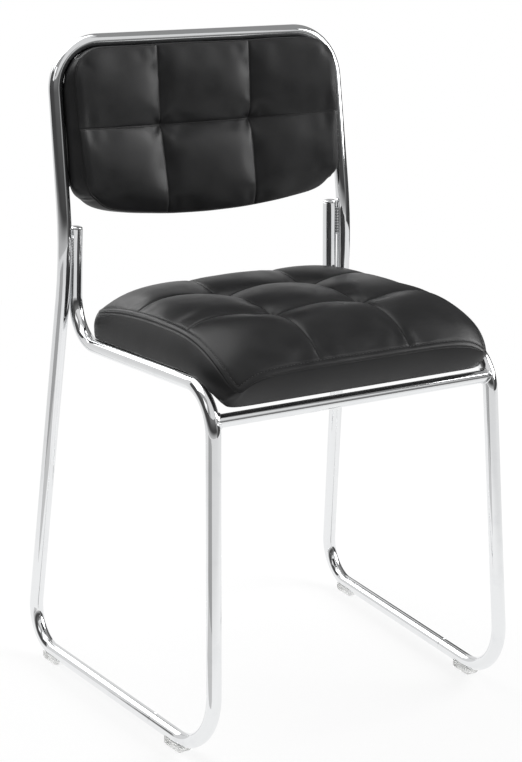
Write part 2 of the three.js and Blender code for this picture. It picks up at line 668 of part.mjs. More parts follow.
function addSeat() {
  const group = new THREE.Group();
  group.position.set(0, railFrontY + tubeRadius * Math.sin(railTilt),
    railFrontHeight + tubeRadius * Math.cos(railTilt));
  group.rotation.x = -railTilt;
  chair.add(group);

  const xStops = [-seat.weltHalf, ...seat.seams.x, seat.weltHalf];
  const yStops = [seat.weltFront, ...seat.seams.y, seat.weltRear];
  const fine = [gridLines(xStops), gridLines(yStops)];
  const coarse = fine.map((lines) => lines.filter((_, i) => i % 2 === 0));
  const inner = seat.wall + fit;
  const deepFloor = (y) => seatBase(y) - overrun;
  const deeperFloor = (y) => deepFloor(y) - fit;
  const underside = seatUnderside();
  const outer = seatForm(0, 0, deepFloor, 1, ...fine);
  const cavity = seatForm(seat.wall, seat.quilt, deeperFloor, 0, ...coarse);
  add(group, 'seat_cover', cut(outer, cavity, underside), materials.leatherette);

  const foam = seatForm(inner, seat.quilt + fit, deeperFloor, 0, ...coarse);
  const boardSpace = seatSheet(-overrun, seat.board + fit, boardLipY - fit, seat.baseRear + overrun,
    seat.baseHalf + overrun);
  add(group, 'seat_foam', cut(foam, boardSpace, underside), materials.foam);

  const tabX = railHalf - Math.sqrt((tubeRadius + fit) ** 2 - (tubeRadius - tab.thickness - fit) ** 2);
  const holeX = tabX - tab.seatReach * (1 - tabHoleShare);
  const tabs = [];
  for (const [name, side] of sides) {
    for (const [end, y] of [['front', seat.tabInset], ['rear', railLength - seat.rearTabInset]]) {
      tabs.push({ name: `${name}_${end}`, side, y });
    }
  }
  const sheet = seatSheet(0, seat.board, boardLipY, seat.baseRear, seat.baseHalf);
  const blank = geometryOf(solid(sheet).intersect(solid(foam)));
  const boardTop = fit + seat.board;
  const holes = tabs.flatMap(({ side, y }) => nutHole(side * holeX, y, boardTop, seat.board));
  add(group, 'seat_board', cut(blank, ...holes), materials.plywood);

  const dustHalf = seat.baseHalf - dustCover.sideInset;
  add(group, 'seat_dust_cover',
    roundedPlate(-dustHalf, dustHalf, dustCover.front, seat.baseRear - dustCover.rearInset,
      dustCover.corner, dustCover.thickness).translate(0, 0, -dustCover.thickness), materials.nonWoven);

  for (const { name, side, y } of tabs) {
    const x0 = side < 0 ? -tabX : tabX - tab.seatReach;
    const plate = roundedPlate(x0, x0 + tab.seatReach, y - tab.length / 2, y + tab.length / 2, tab.corner,
      tab.thickness).translate(0, 0, -tab.thickness);
    const hole = rod(screw.radius + fit, tab.thickness + 2 * overrun)
      .translate(side * holeX, y, -tab.thickness - overrun);
    add(group, `seat_tab_${name}`, cut(plate, hole), materials.zincSteel);
    add(group, `seat_screw_${name}`,
      screwGeometry(tab.thickness + seat.board).translate(side * holeX, y, -tab.thickness - fit),
      materials.zincSteel);
    add(group, `seat_tee_nut_${name}`,
      teeNutGeometry(seat.board).translate(side * holeX, y, boardTop), materials.zincSteel);
  }
}

// Back pad
function backSag(x) {
  return -back.sag * (1 - Math.min(1, Math.abs(x) / back.half) ** 2);
}

function backTop(x, y, deep = 1) {
  const shareY = (y - back.low) / (back.high - back.low);
  const rim = fade(Math.abs(x) / back.half, shareY);
  const flat = back.face + backSag(x);
  return flat - deep * THREE.MathUtils.lerp(back.edgeChannelShare, 1, rim) * channelDepth(x, y, back);
}

function backForm(inset, drop, floor, deep, xLines, yLines) {
  const shareOf = (y) => (y - back.low) / (back.high - back.low);
  const bowed = (x, y, half) => y + back.bow * (1 - shareOf(y)) ** 3 * Math.min(1, Math.abs(x) / half) ** 2;
  const plan = (x, y, low) => {
    const bounds = low
      ? { half: back.baseHalf - inset, y0: back.baseLow + inset, y1: back.baseHigh - inset }
      : { half: back.half - inset, y0: back.low + inset, y1: back.high - inset };
    const px = x / back.half * bounds.half;
    const py = THREE.MathUtils.lerp(bounds.y0, bounds.y1, shareOf(y));
    const [cx, cy] = roundCorner(px, py, bounds, low ? back.baseCorners : back.corners, inset);
    const narrowed = low ? back.baseHalfAt(cy) / back.baseHalf : 1;
    return [cx * narrowed, bowed(cx, cy, bounds.half)];
  };
  const top = (x, y) => {
    const [px, py] = plan(x, y, false);
    const splay = 1 + back.faceSplay * (shareOf(y) - back.splayRoot);
    const buried = THREE.MathUtils.lerp(inset, drop, fade(Math.abs(x) / back.half, shareOf(y)));
    return [px * splay, py, backTop(px, y, deep) - buried];
  };
  const ring = (down) => (x, y) => {
    const a = top(x, y);
    const [bx, by] = plan(x, y, true);
    const swell = back.edgeBulge * 4 * down * (1 - down);
    const outX = Math.abs(x) >= back.half ? Math.sign(x) * swell : 0;
    const swellY = swell * back.endBulgeShare;
    const outY = y >= back.high ? swellY : y <= back.low ? -swellY : 0;
    return [
      THREE.MathUtils.lerp(a[0], bx, down) + outX,
      THREE.MathUtils.lerp(a[1], by, down) + outY,
      THREE.MathUtils.lerp(a[2], floor(bx), down),
    ];
  };
  return quilted(xLines, yLines, top, ringShares.map(ring), false);
}

function backSheet(low, high, half) {
  // A curved sheet across the pad, between two heights over its curved rear face
  const steps = 12;
  const surface = (offset) => Array.from({ length: steps + 1 }, (_, i) => {
    const x = half * (2 * i / steps - 1);
    return new THREE.Vector2(x, back.rear + offset + backSag(x));
  });
  const outline = [...surface(low), ...surface(high).reverse()];
  return prism(outline, back.high + back.bow)
    .rotateX(Math.PI / 2)
    .translate(0, back.high + back.bow, 0);
}

function addBack() {
  const group = new THREE.Group();
  group.position.set(0, kinkY, kinkHeight);
  group.rotation.x = Math.PI / 2 - lean;
  chair.add(group);

  const xStops = [-back.half, ...back.seams.x, back.half];
  const yStops = [back.low, ...back.seams.y, back.high];
  const fine = [gridLines(xStops), gridLines(yStops)];
  const coarse = fine.map((lines) => lines.filter((_, i) => i % 2 === 0));
  const inner = back.wall + fit;
  const rearFace = (x) => back.rear + backSag(x);
  const deepFace = (x) => rearFace(x) - overrun;
  const deeperFace = (x) => deepFace(x) - fit;
  const outer = backForm(0, 0, deepFace, 1, ...fine);
  const cavity = backForm(back.wall, back.quilt, deeperFace, 0, ...coarse);
  const behind = backSheet(-back.high, 0, back.baseHalf + overrun);
  add(group, 'back_cover', cut(outer, cavity, behind), materials.leatherette);

  const foam = backForm(inner, back.quilt + fit, deeperFace, 0, ...coarse);
  const underFoam = backSheet(-back.high, back.board + fit, back.baseHalf + overrun);
  add(group, 'back_foam', cut(foam, underFoam), materials.foam);

  const tabs = [];
  for (const [name, side] of sides) {
    for (const [end, share] of [['low', back.lowTabShare], ['high', back.highTabShare]]) {
      const y = THREE.MathUtils.lerp(back.low, back.high, share);
      const outerX = uprightHalf(y) - tubeRadius - 2 * fit;
      const holeX = outerX - tab.backReach * (1 - tabHoleShare);
      tabs.push({ name: `${name}_${end}`, side, y, outerX, holeX });
    }
  }
  const panelForm = backForm(back.wall / 2, back.quilt, deeperFace, 0, ...coarse);
  const blank = (low, high, form) => geometryOf(
    solid(backSheet(low, high, back.baseHalf)).intersect(solid(form)),
  );
  const boardTop = (x) => back.rear + back.board + backSag(x + tab.corner * Math.sign(x)) - teeNut.flange;
  const holes = tabs.flatMap(({ side, y, holeX }) => nutHole(side * holeX, y, boardTop(holeX), back.board));
  add(group, 'back_board', cut(blank(0, back.board, foam), ...holes), materials.plywood);

  const screwHoles = tabs.map(({ side, y, holeX }) => rod(screw.radius + fit, back.high)
    .translate(side * holeX, y, -back.high / 2));
  add(group, 'back_rear_panel',
    cut(blank(-back.rearPanel - fit, -fit, panelForm), ...screwHoles), materials.rearPanel);

  for (const { name, side, y, outerX, holeX } of tabs) {
    const under = back.rear - back.rearPanel - 2 * fit + backSag(outerX - tab.backReach) - fit;
    const x0 = side < 0 ? -outerX : outerX - tab.backReach;
    const plate = roundedPlate(x0, x0 + tab.backReach, y - tab.length / 2, y + tab.length / 2, tab.corner,
      tab.thickness).translate(0, 0, under - tab.thickness);
    const hole = rod(screw.radius + fit, tab.thickness + 2 * overrun)
      .translate(side * holeX, y, under - tab.thickness - overrun);
    add(group, `back_tab_${name}`, cut(plate, hole), materials.zincSteel);
    const headFace = under - tab.thickness - fit;
    add(group, `back_screw_${name}`,
      screwGeometry(boardTop(holeX) - fit - headFace).translate(side * holeX, y, headFace),
      materials.zincSteel);
    add(group, `back_tee_nut_${name}`,
      teeNutGeometry(back.board - teeNut.flange).translate(side * holeX, y, boardTop(holeX)),
      materials.zincSteel);
  }
}

addFrame();
addSeat();
addBack();

// The origin lies on the floor under the middle of the chair
const bounds = new THREE.Box3().setFromObject(chair, true);
chair.position.y = -(bounds.min.y + bounds.max.y) / 2;

export default chair;
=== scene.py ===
import math

import bpy
import numpy as np
from mathutils import Quaternion, Matrix, Vector, noise
from mathutils.bvhtree import BVHTree


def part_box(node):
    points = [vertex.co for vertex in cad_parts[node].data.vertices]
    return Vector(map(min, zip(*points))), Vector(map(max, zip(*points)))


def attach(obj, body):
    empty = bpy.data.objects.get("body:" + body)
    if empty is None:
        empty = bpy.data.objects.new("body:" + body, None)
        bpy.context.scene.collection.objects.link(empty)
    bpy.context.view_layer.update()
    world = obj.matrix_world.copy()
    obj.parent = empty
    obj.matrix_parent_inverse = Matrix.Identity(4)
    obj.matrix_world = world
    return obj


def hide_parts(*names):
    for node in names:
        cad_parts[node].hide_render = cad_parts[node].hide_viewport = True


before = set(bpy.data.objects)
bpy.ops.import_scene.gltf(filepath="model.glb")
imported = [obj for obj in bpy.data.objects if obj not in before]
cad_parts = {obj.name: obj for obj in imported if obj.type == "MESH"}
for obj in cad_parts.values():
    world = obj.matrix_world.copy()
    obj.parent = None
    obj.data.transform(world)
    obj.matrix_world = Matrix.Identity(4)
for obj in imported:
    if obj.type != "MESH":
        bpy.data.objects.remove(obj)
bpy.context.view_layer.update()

scene = bpy.context.scene
print("frame loaded:", len(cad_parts), "nodes")


# Shader helpers
class Wire:
    # a node's output, so that shader maths reads as plain Python
    def __init__(self, shading, socket):
        self.shading = shading
        self.socket = socket

    def maths(self, operation, first, second):
        return self.shading.node("ShaderNodeMath", {"operation": operation}, {0: first, 1: second})

    def __add__(self, other):
        return self.maths("ADD", self, other)

    __radd__ = __add__

    def __mul__(self, other):
        return self.maths("MULTIPLY", self, other)

    __rmul__ = __mul__

    def __sub__(self, other):
        return self.maths("SUBTRACT", self, other)

    def __rsub__(self, other):
        return self.maths("SUBTRACT", other, self)


class Shading:
    # the nodes of one material, or of the world
    def __init__(self, owner):
        owner.use_nodes = True
        self.owner = owner
        self.tree = owner.node_tree
        self.tree.nodes.clear()

    def node(self, kind, settings=None, sockets=None, output=0):
        made = self.tree.nodes.new(kind)
        for name, value in (settings or {}).items():
            setattr(made, name, value)
        for name, value in (sockets or {}).items():
            if isinstance(value, Wire):
                self.tree.links.new(value.socket, made.inputs[name])
            else:
                made.inputs[name].default_value = value
        return Wire(self, made.outputs[output]) if made.outputs else made

    def place(self, stretch=(1, 1, 1)):
        spot = self.node("ShaderNodeTexCoord", output="Object")
        return self.node("ShaderNodeMapping", sockets={"Vector": spot, "Scale": stretch})

    def clouds(self, vector, scale, detail=3.0):
        return self.node("ShaderNodeTexNoise", sockets={"Vector": vector, "Scale": scale, "Detail": detail})

    def eased(self, value, low, high, bottom=0.0, top=1.0):
        return self.node("ShaderNodeMapRange", {"interpolation_type": "SMOOTHSTEP"}, {
            "Value": value, "From Min": low, "From Max": high, "To Min": bottom, "To Max": top,
        })

    def mixed(self, share, first, second):
        return self.node("ShaderNodeMix", {"data_type": "RGBA"}, {0: share, 6: first, 7: second}, output=2)

    def bump(self, height, strength, distance, under=None):
        sockets = {"Height": height, "Strength": strength, "Distance": distance}
        if under is not None:
            sockets["Normal"] = under
        return self.node("ShaderNodeBump", sockets=sockets)

    def grey(self, share):
        return self.mixed(share, (0, 0, 0, 1), (1, 1, 1, 1))

    def glow(self, tone):
        return self.node("ShaderNodeEmission", sockets={"Color": tone, "Strength": 1.0})

    def ray(self, kind):
        return self.node("ShaderNodeLightPath", output=f"Is {kind} Ray")

    def seenDirectly(self):
        # one for the camera's rays, also where they come through clear plastic
        return self.node("ShaderNodeMath", {"operation": "MAXIMUM"}, {
            0: self.ray("Camera"), 1: self.ray("Transmission"),
        })

    def surface(self, sockets):
        shader = self.node("ShaderNodeBsdfPrincipled", sockets=sockets)
        self.node("ShaderNodeOutputMaterial", sockets={"Surface": shader})
        return self.owner


def finishNamed(name):
    return Shading(bpy.data.materials.new(name))


def written(red, green, blue):
    # a colour as written in a picture, turned into the light that it stands for
    tones = [((v / 255 + 0.055) / 1.055) ** 2.4 if v > 10 else v / 255 / 12.92 for v in (red, green, blue)]
    return (*tones, 1)


# Finishes, each with its look. Sizes of patterns are in waves per metre, and a relief is a pattern's
# strength and its depth in metres
chromeLook = {
    "tone": written(236, 237, 238), "dull": written(228, 229, 231), "polish": 0.035, "haze": 0.02,
    "scuff": 0.05, "patchSize": 38, "speckSize": 900, "speckRelief": (0.04, 0.00005),
    "waveSize": 30, "waveRelief": (0.25, 0.0005),
}


def chromeFinish():
    shading = finishNamed("polished chrome")
    spot = shading.place()
    patches = shading.clouds(spot, chromeLook["patchSize"], 4)
    specks = shading.clouds(shading.place((1, 1, 0.12)), chromeLook["speckSize"], 2)
    haze = shading.eased(patches, 0.45, 0.75) * chromeLook["haze"]
    scuffs = shading.eased(specks, 0.66, 0.8) * chromeLook["scuff"]
    waves = shading.bump(shading.clouds(spot, chromeLook["waveSize"], 1), *chromeLook["waveRelief"])
    return shading.surface({
        "Base Color": shading.mixed(shading.eased(patches, 0.5, 0.9), chromeLook["tone"], chromeLook["dull"]),
        "Metallic": 1.0,
        "Roughness": chromeLook["polish"] + haze + scuffs,
        "Normal": shading.bump(specks, *chromeLook["speckRelief"], waves),
    })


# The darkest tone of the leatherette is painted shade, for its seams, joins and hollows
leatherLook = {
    "tone": written(24, 24, 25), "worn": written(32, 32, 33), "paintedShadeTone": written(12, 12, 13),
    "shine": 0.37, "dulled": (0.07, 0.2, 0.05), "specular": 0.32, "mottleSize": 34, "mottling": 0.35,
    "grain": 1150, "rearGrain": 900, "pores": 0.35, "grainRelief": (0.5, 0.00006),
    "softSize": 90, "softRelief": (0.12, 0.0005),
}


def leatheretteFinish(name, grain):
    shading = finishNamed(name)
    spot = shading.place()
    # painted shade: a mark on each cover darkens the colour in its seams, stitch lines, joins and tuft
    # hollows
    seams = shading.node("ShaderNodeAttribute", {"attribute_name": "paintedSeamShade"}, output="Fac")
    wear = shading.node("ShaderNodeAttribute", {"attribute_name": "edgeWear"}, output="Fac")
    cells = shading.node("ShaderNodeTexVoronoi", {"feature": "SMOOTH_F1"}, {
        "Vector": spot, "Scale": grain, "Smoothness": 0.7, "Randomness": 0.95,
    })
    pores = shading.clouds(spot, grain * 2.3, 2)
    mottle = shading.clouds(spot, leatherLook["mottleSize"], 4)
    patchy = shading.eased(mottle, 0.3, 0.75, 0, leatherLook["mottling"])
    body = shading.mixed(patchy, leatherLook["tone"], leatherLook["worn"])
    rubbed = shading.mixed(wear * shading.eased(mottle, 0.25, 0.7), body, leatherLook["worn"])
    height = cells + pores * leatherLook["pores"]
    soft = shading.bump(shading.clouds(spot, leatherLook["softSize"], 3), *leatherLook["softRelief"])
    byMottle, bySeams, byWear = leatherLook["dulled"]
    dulled = shading.eased(mottle, 0.3, 0.7) * byMottle + seams * bySeams - wear * byWear
    return shading.surface({
        "Base Color": shading.mixed(seams, rubbed, leatherLook["paintedShadeTone"]),
        "Roughness": leatherLook["shine"] + dulled,
        "Normal": shading.bump(height, *leatherLook["grainRelief"], soft),
        "Specular IOR Level": leatherLook["specular"],
    })


threadLook = {
    "tone": written(26, 26, 27), "light": written(62, 62, 63), "twist": 1400, "relief": (0.5, 0.0001),
    "roughness": 0.55, "patchSize": 500, "patchy": 0.2,
}


def threadFinish():
    shading = finishNamed("black thread")
    spot = shading.place()
    fibres = shading.node("ShaderNodeTexWave", {"wave_type": "BANDS", "bands_direction": "DIAGONAL"}, {
        "Vector": spot, "Scale": threadLook["twist"], "Distortion": 1.5,
    })
    patches = shading.clouds(spot, threadLook["patchSize"])
    return shading.surface({
        "Base Color": shading.mixed(fibres, threadLook["tone"], threadLook["light"]),
        "Roughness": threadLook["roughness"] + patches * threadLook["patchy"],
        "Normal": shading.bump(fibres, *threadLook["relief"]),
    })


plasticLook = {
    "tone": written(252, 252, 251), "cloudy": written(243, 244, 243), "cloudSize": 120,
    "polish": 0.16, "scratchSize": 1500, "scratched": 0.3, "scratchRelief": (0.15, 0.00006),
    "clear": 0.5, "bend": 1.3,
}


def clearPlasticFinish():
    shading = finishNamed("clear plastic")
    spot = shading.place()
    cloudy = shading.clouds(spot, plasticLook["cloudSize"], 3)
    scratches = shading.clouds(shading.place((1, 0.1, 1)), plasticLook["scratchSize"], 2)
    return shading.surface({
        "Base Color": shading.mixed(cloudy, plasticLook["tone"], plasticLook["cloudy"]),
        "Roughness": plasticLook["polish"] + shading.eased(scratches, 0.5, 0.8) * plasticLook["scratched"],
        "Normal": shading.bump(scratches, *plasticLook["scratchRelief"]),
        "Transmission Weight": plasticLook["clear"],
        "IOR": plasticLook["bend"],
    })


zincLook = {
    "tone": written(176, 179, 182), "dull": written(142, 144, 146), "driftSize": 60,
    "polish": 0.3, "patchy": 0.15, "spangleSize": 260, "spangleRelief": (0.12, 0.00012),
}


def zincFinish():
    shading = finishNamed("zinc plated steel")
    spot = shading.place()
    spangle = shading.node("ShaderNodeTexVoronoi", {"feature": "F1"}, {
        "Vector": spot, "Scale": zincLook["spangleSize"],
    })
    drift = shading.clouds(spot, zincLook["driftSize"], 4)
    return shading.surface({
        "Base Color": shading.mixed(drift, zincLook["tone"], zincLook["dull"]),
        "Metallic": 1.0,
        "Roughness": zincLook["polish"] + shading.eased(drift, 0.35, 0.7) * zincLook["patchy"],
        "Normal": shading.bump(spangle, *zincLook["spangleRelief"]),
    })


plywoodLook = {
    "light": written(198, 168, 120), "dark": written(160, 124, 80), "glue": written(128, 96, 62),
    "ringSize": 70, "ringRelief": (0.3, 0.0003), "plySize": 110, "plies": 0.4,
    "roughness": 0.6, "patchy": 0.2,
}


def plywoodFinish():
    shading = finishNamed("plywood")
    spot = shading.place((1, 0.06, 6))
    rings = shading.clouds(spot, plywoodLook["ringSize"], 5)
    plies = shading.node("ShaderNodeTexWave", {"wave_type": "BANDS", "bands_direction": "Z"}, {
        "Vector": shading.place(), "Scale": plywoodLook["plySize"], "Distortion": 1.0, "Detail": 2.0,
    })
    grain = shading.mixed(rings, plywoodLook["light"], plywoodLook["dark"])
    glue = shading.eased(plies, 0.6, 0.9, 0, plywoodLook["plies"])
    return shading.surface({
        "Base Color": shading.mixed(glue, grain, plywoodLook["glue"]),
        "Roughness": plywoodLook["roughness"] + rings * plywoodLook["patchy"],
        "Normal": shading.bump(rings, *plywoodLook["ringRelief"]),
    })


nonWovenLook = {
    "tone": written(18, 18, 19), "light": written(44, 44, 46), "roughness": 0.82, "patchy": 0.15,
    "sheen": 0.15, "dimpleSize": 480, "fibreSize": 1600, "fibres": 0.4, "relief": (0.6, 0.0004),
}


def nonWovenFinish():
    shading = finishNamed("black non-woven cloth")
    dimples = shading.node("ShaderNodeTexVoronoi", {"feature": "F1"}, {
        "Vector": shading.place(), "Scale": nonWovenLook["dimpleSize"], "Randomness": 0.25,
    })
    fibres = shading.clouds(shading.place((1, 0.2, 1)), nonWovenLook["fibreSize"], 4)
    return shading.surface({
        "Base Color": shading.mixed(fibres, nonWovenLook["tone"], nonWovenLook["light"]),
        "Roughness": nonWovenLook["roughness"] + fibres * nonWovenLook["patchy"],
        "Normal": shading.bump(dimples + fibres * nonWovenLook["fibres"], *nonWovenLook["relief"]),
        "Sheen Weight": nonWovenLook["sheen"],
    })


chrome = chromeFinish()
leatherette = leatheretteFinish("black leatherette", leatherLook["grain"])
rearLeatherette = leatheretteFinish("rear panel leatherette", leatherLook["rearGrain"])
thread = threadFinish()
clearPlastic = clearPlasticFinish()
zinc = zincFinish()
plywood = plywoodFinish()
nonWoven = nonWovenFinish()
print("finishes made")


# Mesh helpers
def linked(name, points, faces, finish):
    mesh = bpy.data.meshes.new(name)
    mesh.from_pydata([tuple(p) for p in points], [], [tuple(f) for f in faces])
    mesh.materials.append(finish)
    made = bpy.data.objects.new(name, mesh)
    scene.collection.objects.link(made)
    return made


def pieceFrom(name, points, faces, finish, slot, sharp=40):
    piece = linked(name, points, faces, finish)
    piece.data.shade_smooth()
    piece.data.set_sharp_from_angle(angle=math.radians(sharp))
    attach(piece, "root")
    return piece


def circle(count):
    return [2 * math.pi * k / count for k in range(count)]


def turnedRing(radius, height, sides):
    return [Vector((radius * math.cos(a), radius * math.sin(a), height)) for a in circle(sides)]


def bentLine(corners, radii, step=math.radians(3)):
    # points and directions along straight runs that round bends join
    corners = [Vector(c) for c in corners]
    points = [corners[0]]
    directions = [(corners[1] - corners[0]).normalized()]
    for before, here, after, radius in zip(corners, corners[1:], corners[2:], radii):
        into, out = (here - before).normalized(), (after - here).normalized()
        angle = into.angle(out)
        start = here - into * radius * math.tan(angle / 2)
        inward = (out - into * out.dot(into)).normalized()
        count = max(4, round(angle / step))
        for k in range(count + 1):
            turn = angle * k / count
            points.append(start + into * radius * math.sin(turn) + inward * radius * (1 - math.cos(turn)))
            directions.append(into * math.cos(turn) + inward * math.sin(turn))
    points.append(corners[-1])
    directions.append((corners[-1] - corners[-2]).normalized())
    return points, directions


def sweptRings(points, directions, radii, sides):
    # rings of points carried along a line without twist
    across = directions[0].orthogonal().normalized()
    rings = []
    for point, direction, radius in zip(points, directions, radii):
        across = (across - direction * across.dot(direction)).normalized()
        other = direction.cross(across)
        rings.append([
            point + (across * math.cos(a) + other * math.sin(a)) * radius for a in circle(sides)
        ])
    return rings


def skinned(rings, closed=False):
    # quads between rings of equal count, with a flat face at each end
    sides = len(rings[0])
    points = [p for ring in rings for p in ring]
    faces = []
    last = len(rings) if closed else len(rings) - 1
    for r in range(last):
        a, b = r * sides, (r + 1) % len(rings) * sides
        faces += [(a + k, a + (k + 1) % sides, b + (k + 1) % sides, b + k) for k in range(sides)]
    if not closed:
        faces.append(tuple(range(sides))[::-1])
        faces.append(tuple(range(len(points) - sides, len(points))))
    return points, faces


def nearestOn(line, spot):
    # the least distance from a spot to a line of points
    best = 1e9
    for a, b in zip(line, line[1:]):
        run = b - a
        share = max(0.0, min(1.0, (spot - a).dot(run) / run.length_squared))
        best = min(best, (spot - a - run * share).length)
    return best


# Frame: places are (half spacing, y, z), and every bend is a radius of the tube's centreline
sidesOfChair = (("left", -1), ("right", 1))
steelFrame = {
    "tubeRadius": 0.009, "bore": 0.0078, "barRadius": 0.008, "sides": 48,
    "edge": 0.0003, "innerEdge": 0.0002, "openDepth": 0.012,
    "floorFront": (0.212, -0.22139, 0.014), "floorRear": (0.239, 0.22361, 0.014),
    "kink": (0.210, 0.14961, 0.552), "hoop": (0.2053, 0.18511, 0.811),
    "stub": (0.19168, 0.16014, 0.581), "railRear": (0.19488, 0.16314, 0.4375),
    "railFront": (0.19488, -0.19289, 0.455),
    "frontFloorBend": 0.076, "rearFloorBend": 0.050, "seatBend": 0.055, "kinkBend": 0.440, "hoopBend": 0.062,
    "jointShare": 0.3, "jointGap": 0.0003,
    "frontBarHeight": 0.418, "rearBar": (0.0837, 0.4414), "barGap": 0.0002, "barHalvings": 26,
    "barStations": (-1, -0.985, -0.9, 0, 0.9, 0.985, 1),
}


def onSide(side, name):
    x, y, z = steelFrame[name]
    return Vector((side * x, y, z))


def railJoint(side, shift):
    start, end = onSide(side, "floorFront"), onSide(side, "floorRear")
    return start.lerp(end, steelFrame["jointShare"]) + (end - start).normalized() * shift


def sideLine(side):
    corners = [onSide(side, name) for name in ("stub", "railRear", "railFront", "floorFront")]
    corners.append(railJoint(side, -steelFrame["jointGap"] / 2))
    return corners, [steelFrame["seatBend"], steelFrame["seatBend"], steelFrame["frontFloorBend"]]


def hoopLine():
    gap = steelFrame["jointGap"] / 2
    left = [onSide(-1, name) for name in ("floorRear", "kink", "hoop")]
    right = [onSide(1, name) for name in ("hoop", "kink", "floorRear")]
    bends = [steelFrame[name] for name in ("rearFloorBend", "kinkBend", "hoopBend")]
    return [railJoint(-1, gap), *left, *right, railJoint(1, gap)], bends + bends[::-1]


def tubePiece(name, corners, bends):
    # a bent tube that is open a little way in at both ends
    radius, bore, edge = steelFrame["tubeRadius"], steelFrame["bore"], steelFrame["edge"]
    line, ways = bentLine(corners, bends)
    shifts = (steelFrame["openDepth"], steelFrame["innerEdge"], 0, edge)
    stations = [line[0] + ways[0] * shift for shift in shifts]
    stations += line[1:-1]
    stations += [line[-1] - ways[-1] * shift for shift in reversed(shifts)]
    directions = [ways[0]] * 4 + ways[1:-1] + [ways[-1]] * 4
    end = [bore, bore, radius - edge, radius]
    reach = end + [radius] * (len(line) - 2) + end[::-1]
    rings = sweptRings(stations, directions, reach, steelFrame["sides"])
    piece = pieceFrom(name, *skinned(rings), chrome, "chrome")
    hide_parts(name)


def barEnd(tubeLine, x, y, z, reach):
    # how far out a line along x at that y and z comes to within reach of the side tube's centre
    low, high = 0.0, x
    for _ in range(steelFrame["barHalvings"]):
        middle = (low + high) / 2
        if nearestOn(tubeLine, Vector((middle, y, z))) > reach:
            low = middle
        else:
            high = middle
    return low


endBead = {"radius": 0.0015, "lift": 0.45, "inward": 0.35, "ripple": 0.12, "ripples": 12, "sides": 10}


def crossbarPiece(name, x, y, z, tubeLine):
    # a bar whose ends are cut to fit round the side tubes, with a weld bead at each end
    radius, reach, sides = steelFrame["barRadius"], steelFrame["tubeRadius"], steelFrame["sides"]
    around = [(math.cos(a), math.sin(a)) for a in circle(sides)]
    spots = [(y + radius * c, z + radius * s) for c, s in around]
    ends = [barEnd(tubeLine, x, *spot, reach + steelFrame["barGap"]) for spot in spots]
    rings = []
    for share in steelFrame["barStations"]:
        rings.append([Vector((share * end, *spot)) for spot, end in zip(spots, ends)])
    bar = pieceFrom(name, *skinned(rings), chrome, "chrome")
    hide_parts(name)
    bead = endBead["radius"]
    size = radius + bead * endBead["lift"]
    spots = [(y + size * c, z + size * s) for c, s in around]
    ends = [barEnd(tubeLine, x, *spot, reach) - bead * endBead["inward"] for spot in spots]
    turns = [2 * math.pi * endBead["ripples"] * k / sides for k in range(sides)]
    for label, side in sidesOfChair:
        loop = [Vector((side * end, *spot)) for spot, end in zip(spots, ends)]
        rings = []
        for k, turn in enumerate(turns):
            way = (loop[(k + 1) % sides] - loop[k - 1]).normalized()
            first = (Vector((1, 0, 0)) - way * way.x).normalized()
            second = way.cross(first)
            thick = bead * (1 + endBead["ripple"] * math.sin(turn))
            rings.append([
                loop[k] + (first * math.cos(a) + second * math.sin(a)) * thick
                for a in circle(endBead["sides"])
            ])
        pieceFrom(f"{name}_weld_{label}", *skinned(rings, closed=True), chrome, "chrome")


def atHeight(line, height):
    # the first spot of a line at that height
    for a, b in zip(line, line[1:]):
        if (a.z - height) * (b.z - height) <= 0 and a.z != b.z:
            return a.lerp(b, (height - a.z) / (b.z - a.z))
    return None


stubWeld = {
    "radius": 0.0017, "low": 0.536, "high": 0.574, "lift": 0.75, "ripple": 0.1, "rippleSteps": 6,
    "blunt": 12, "leastEnd": 0.05, "steps": 60, "sides": 14,
}


def stubWeldPiece(name, side, facing):
    # a rippled bead in the groove between the upturned end and the upright
    size, count = stubWeld["radius"], stubWeld["steps"]
    stub = [onSide(side, "stub"), onSide(side, "railRear")]
    upright, _ = bentLine([onSide(side, n) for n in ("floorRear", "kink", "hoop")], [steelFrame["kinkBend"]])
    reach = steelFrame["tubeRadius"] + size * stubWeld["lift"]
    points, sizes = [], []
    for k in range(count + 1):
        height = stubWeld["low"] + (stubWeld["high"] - stubWeld["low"]) * k / count
        a, b = atHeight(stub, height), atHeight(upright, height)
        gap = b - a
        across = Vector((-gap.y, gap.x, 0)).normalized()
        if across.y * facing < 0:
            across.negate()
        lift = math.sqrt(max(0, reach ** 2 - (gap.length / 2) ** 2))
        points.append(a.lerp(b, 0.5) + across * lift)
        rounded = math.sqrt(max(stubWeld["leastEnd"], 1 - (2 * k / count - 1) ** stubWeld["blunt"]))
        ripple = stubWeld["ripple"] * math.cos(k * 2 * math.pi / stubWeld["rippleSteps"])
        sizes.append(size * rounded * (1 + ripple))
    ways = [(b - a).normalized() for a, b in zip(points, points[1:])]
    rings = sweptRings(points, ways + ways[-1:], sizes, stubWeld["sides"])
    piece = pieceFrom(name, *skinned(rings), chrome, "chrome")
    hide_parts(name)


plugShape = {
    "rim": 0.0088, "hidden": 0.0014, "gap": 0.0003, "rounding": 0.0003, "edge": 0.0007, "dome": 0.004,
    "steps": 12, "sides": 40,
}


def plugPiece(name, side):
    # a domed end plug, turned about the upturned end's own line
    rim, low, rounding = plugShape["rim"], plugShape["gap"], plugShape["rounding"]
    edge = low + plugShape["edge"]
    profile = [(rim - plugShape["hidden"], low), (rim - rounding, low), (rim, low + rounding), (rim, edge)]
    for k in range(1, plugShape["steps"]):
        angle = math.pi / 2 * k / plugShape["steps"]
        profile.append((rim * math.cos(angle), edge + (plugShape["dome"] - edge) * math.sin(angle)))
    top = onSide(side, "stub")
    turn = Vector((0, 0, 1)).rotation_difference((top - onSide(side, "railRear")).normalized())
    rings = [[top + turn @ p for p in turnedRing(*pair, plugShape["sides"])] for pair in profile]
    piece = pieceFrom(name, *skinned(rings), chrome, "chrome")
    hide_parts(name)


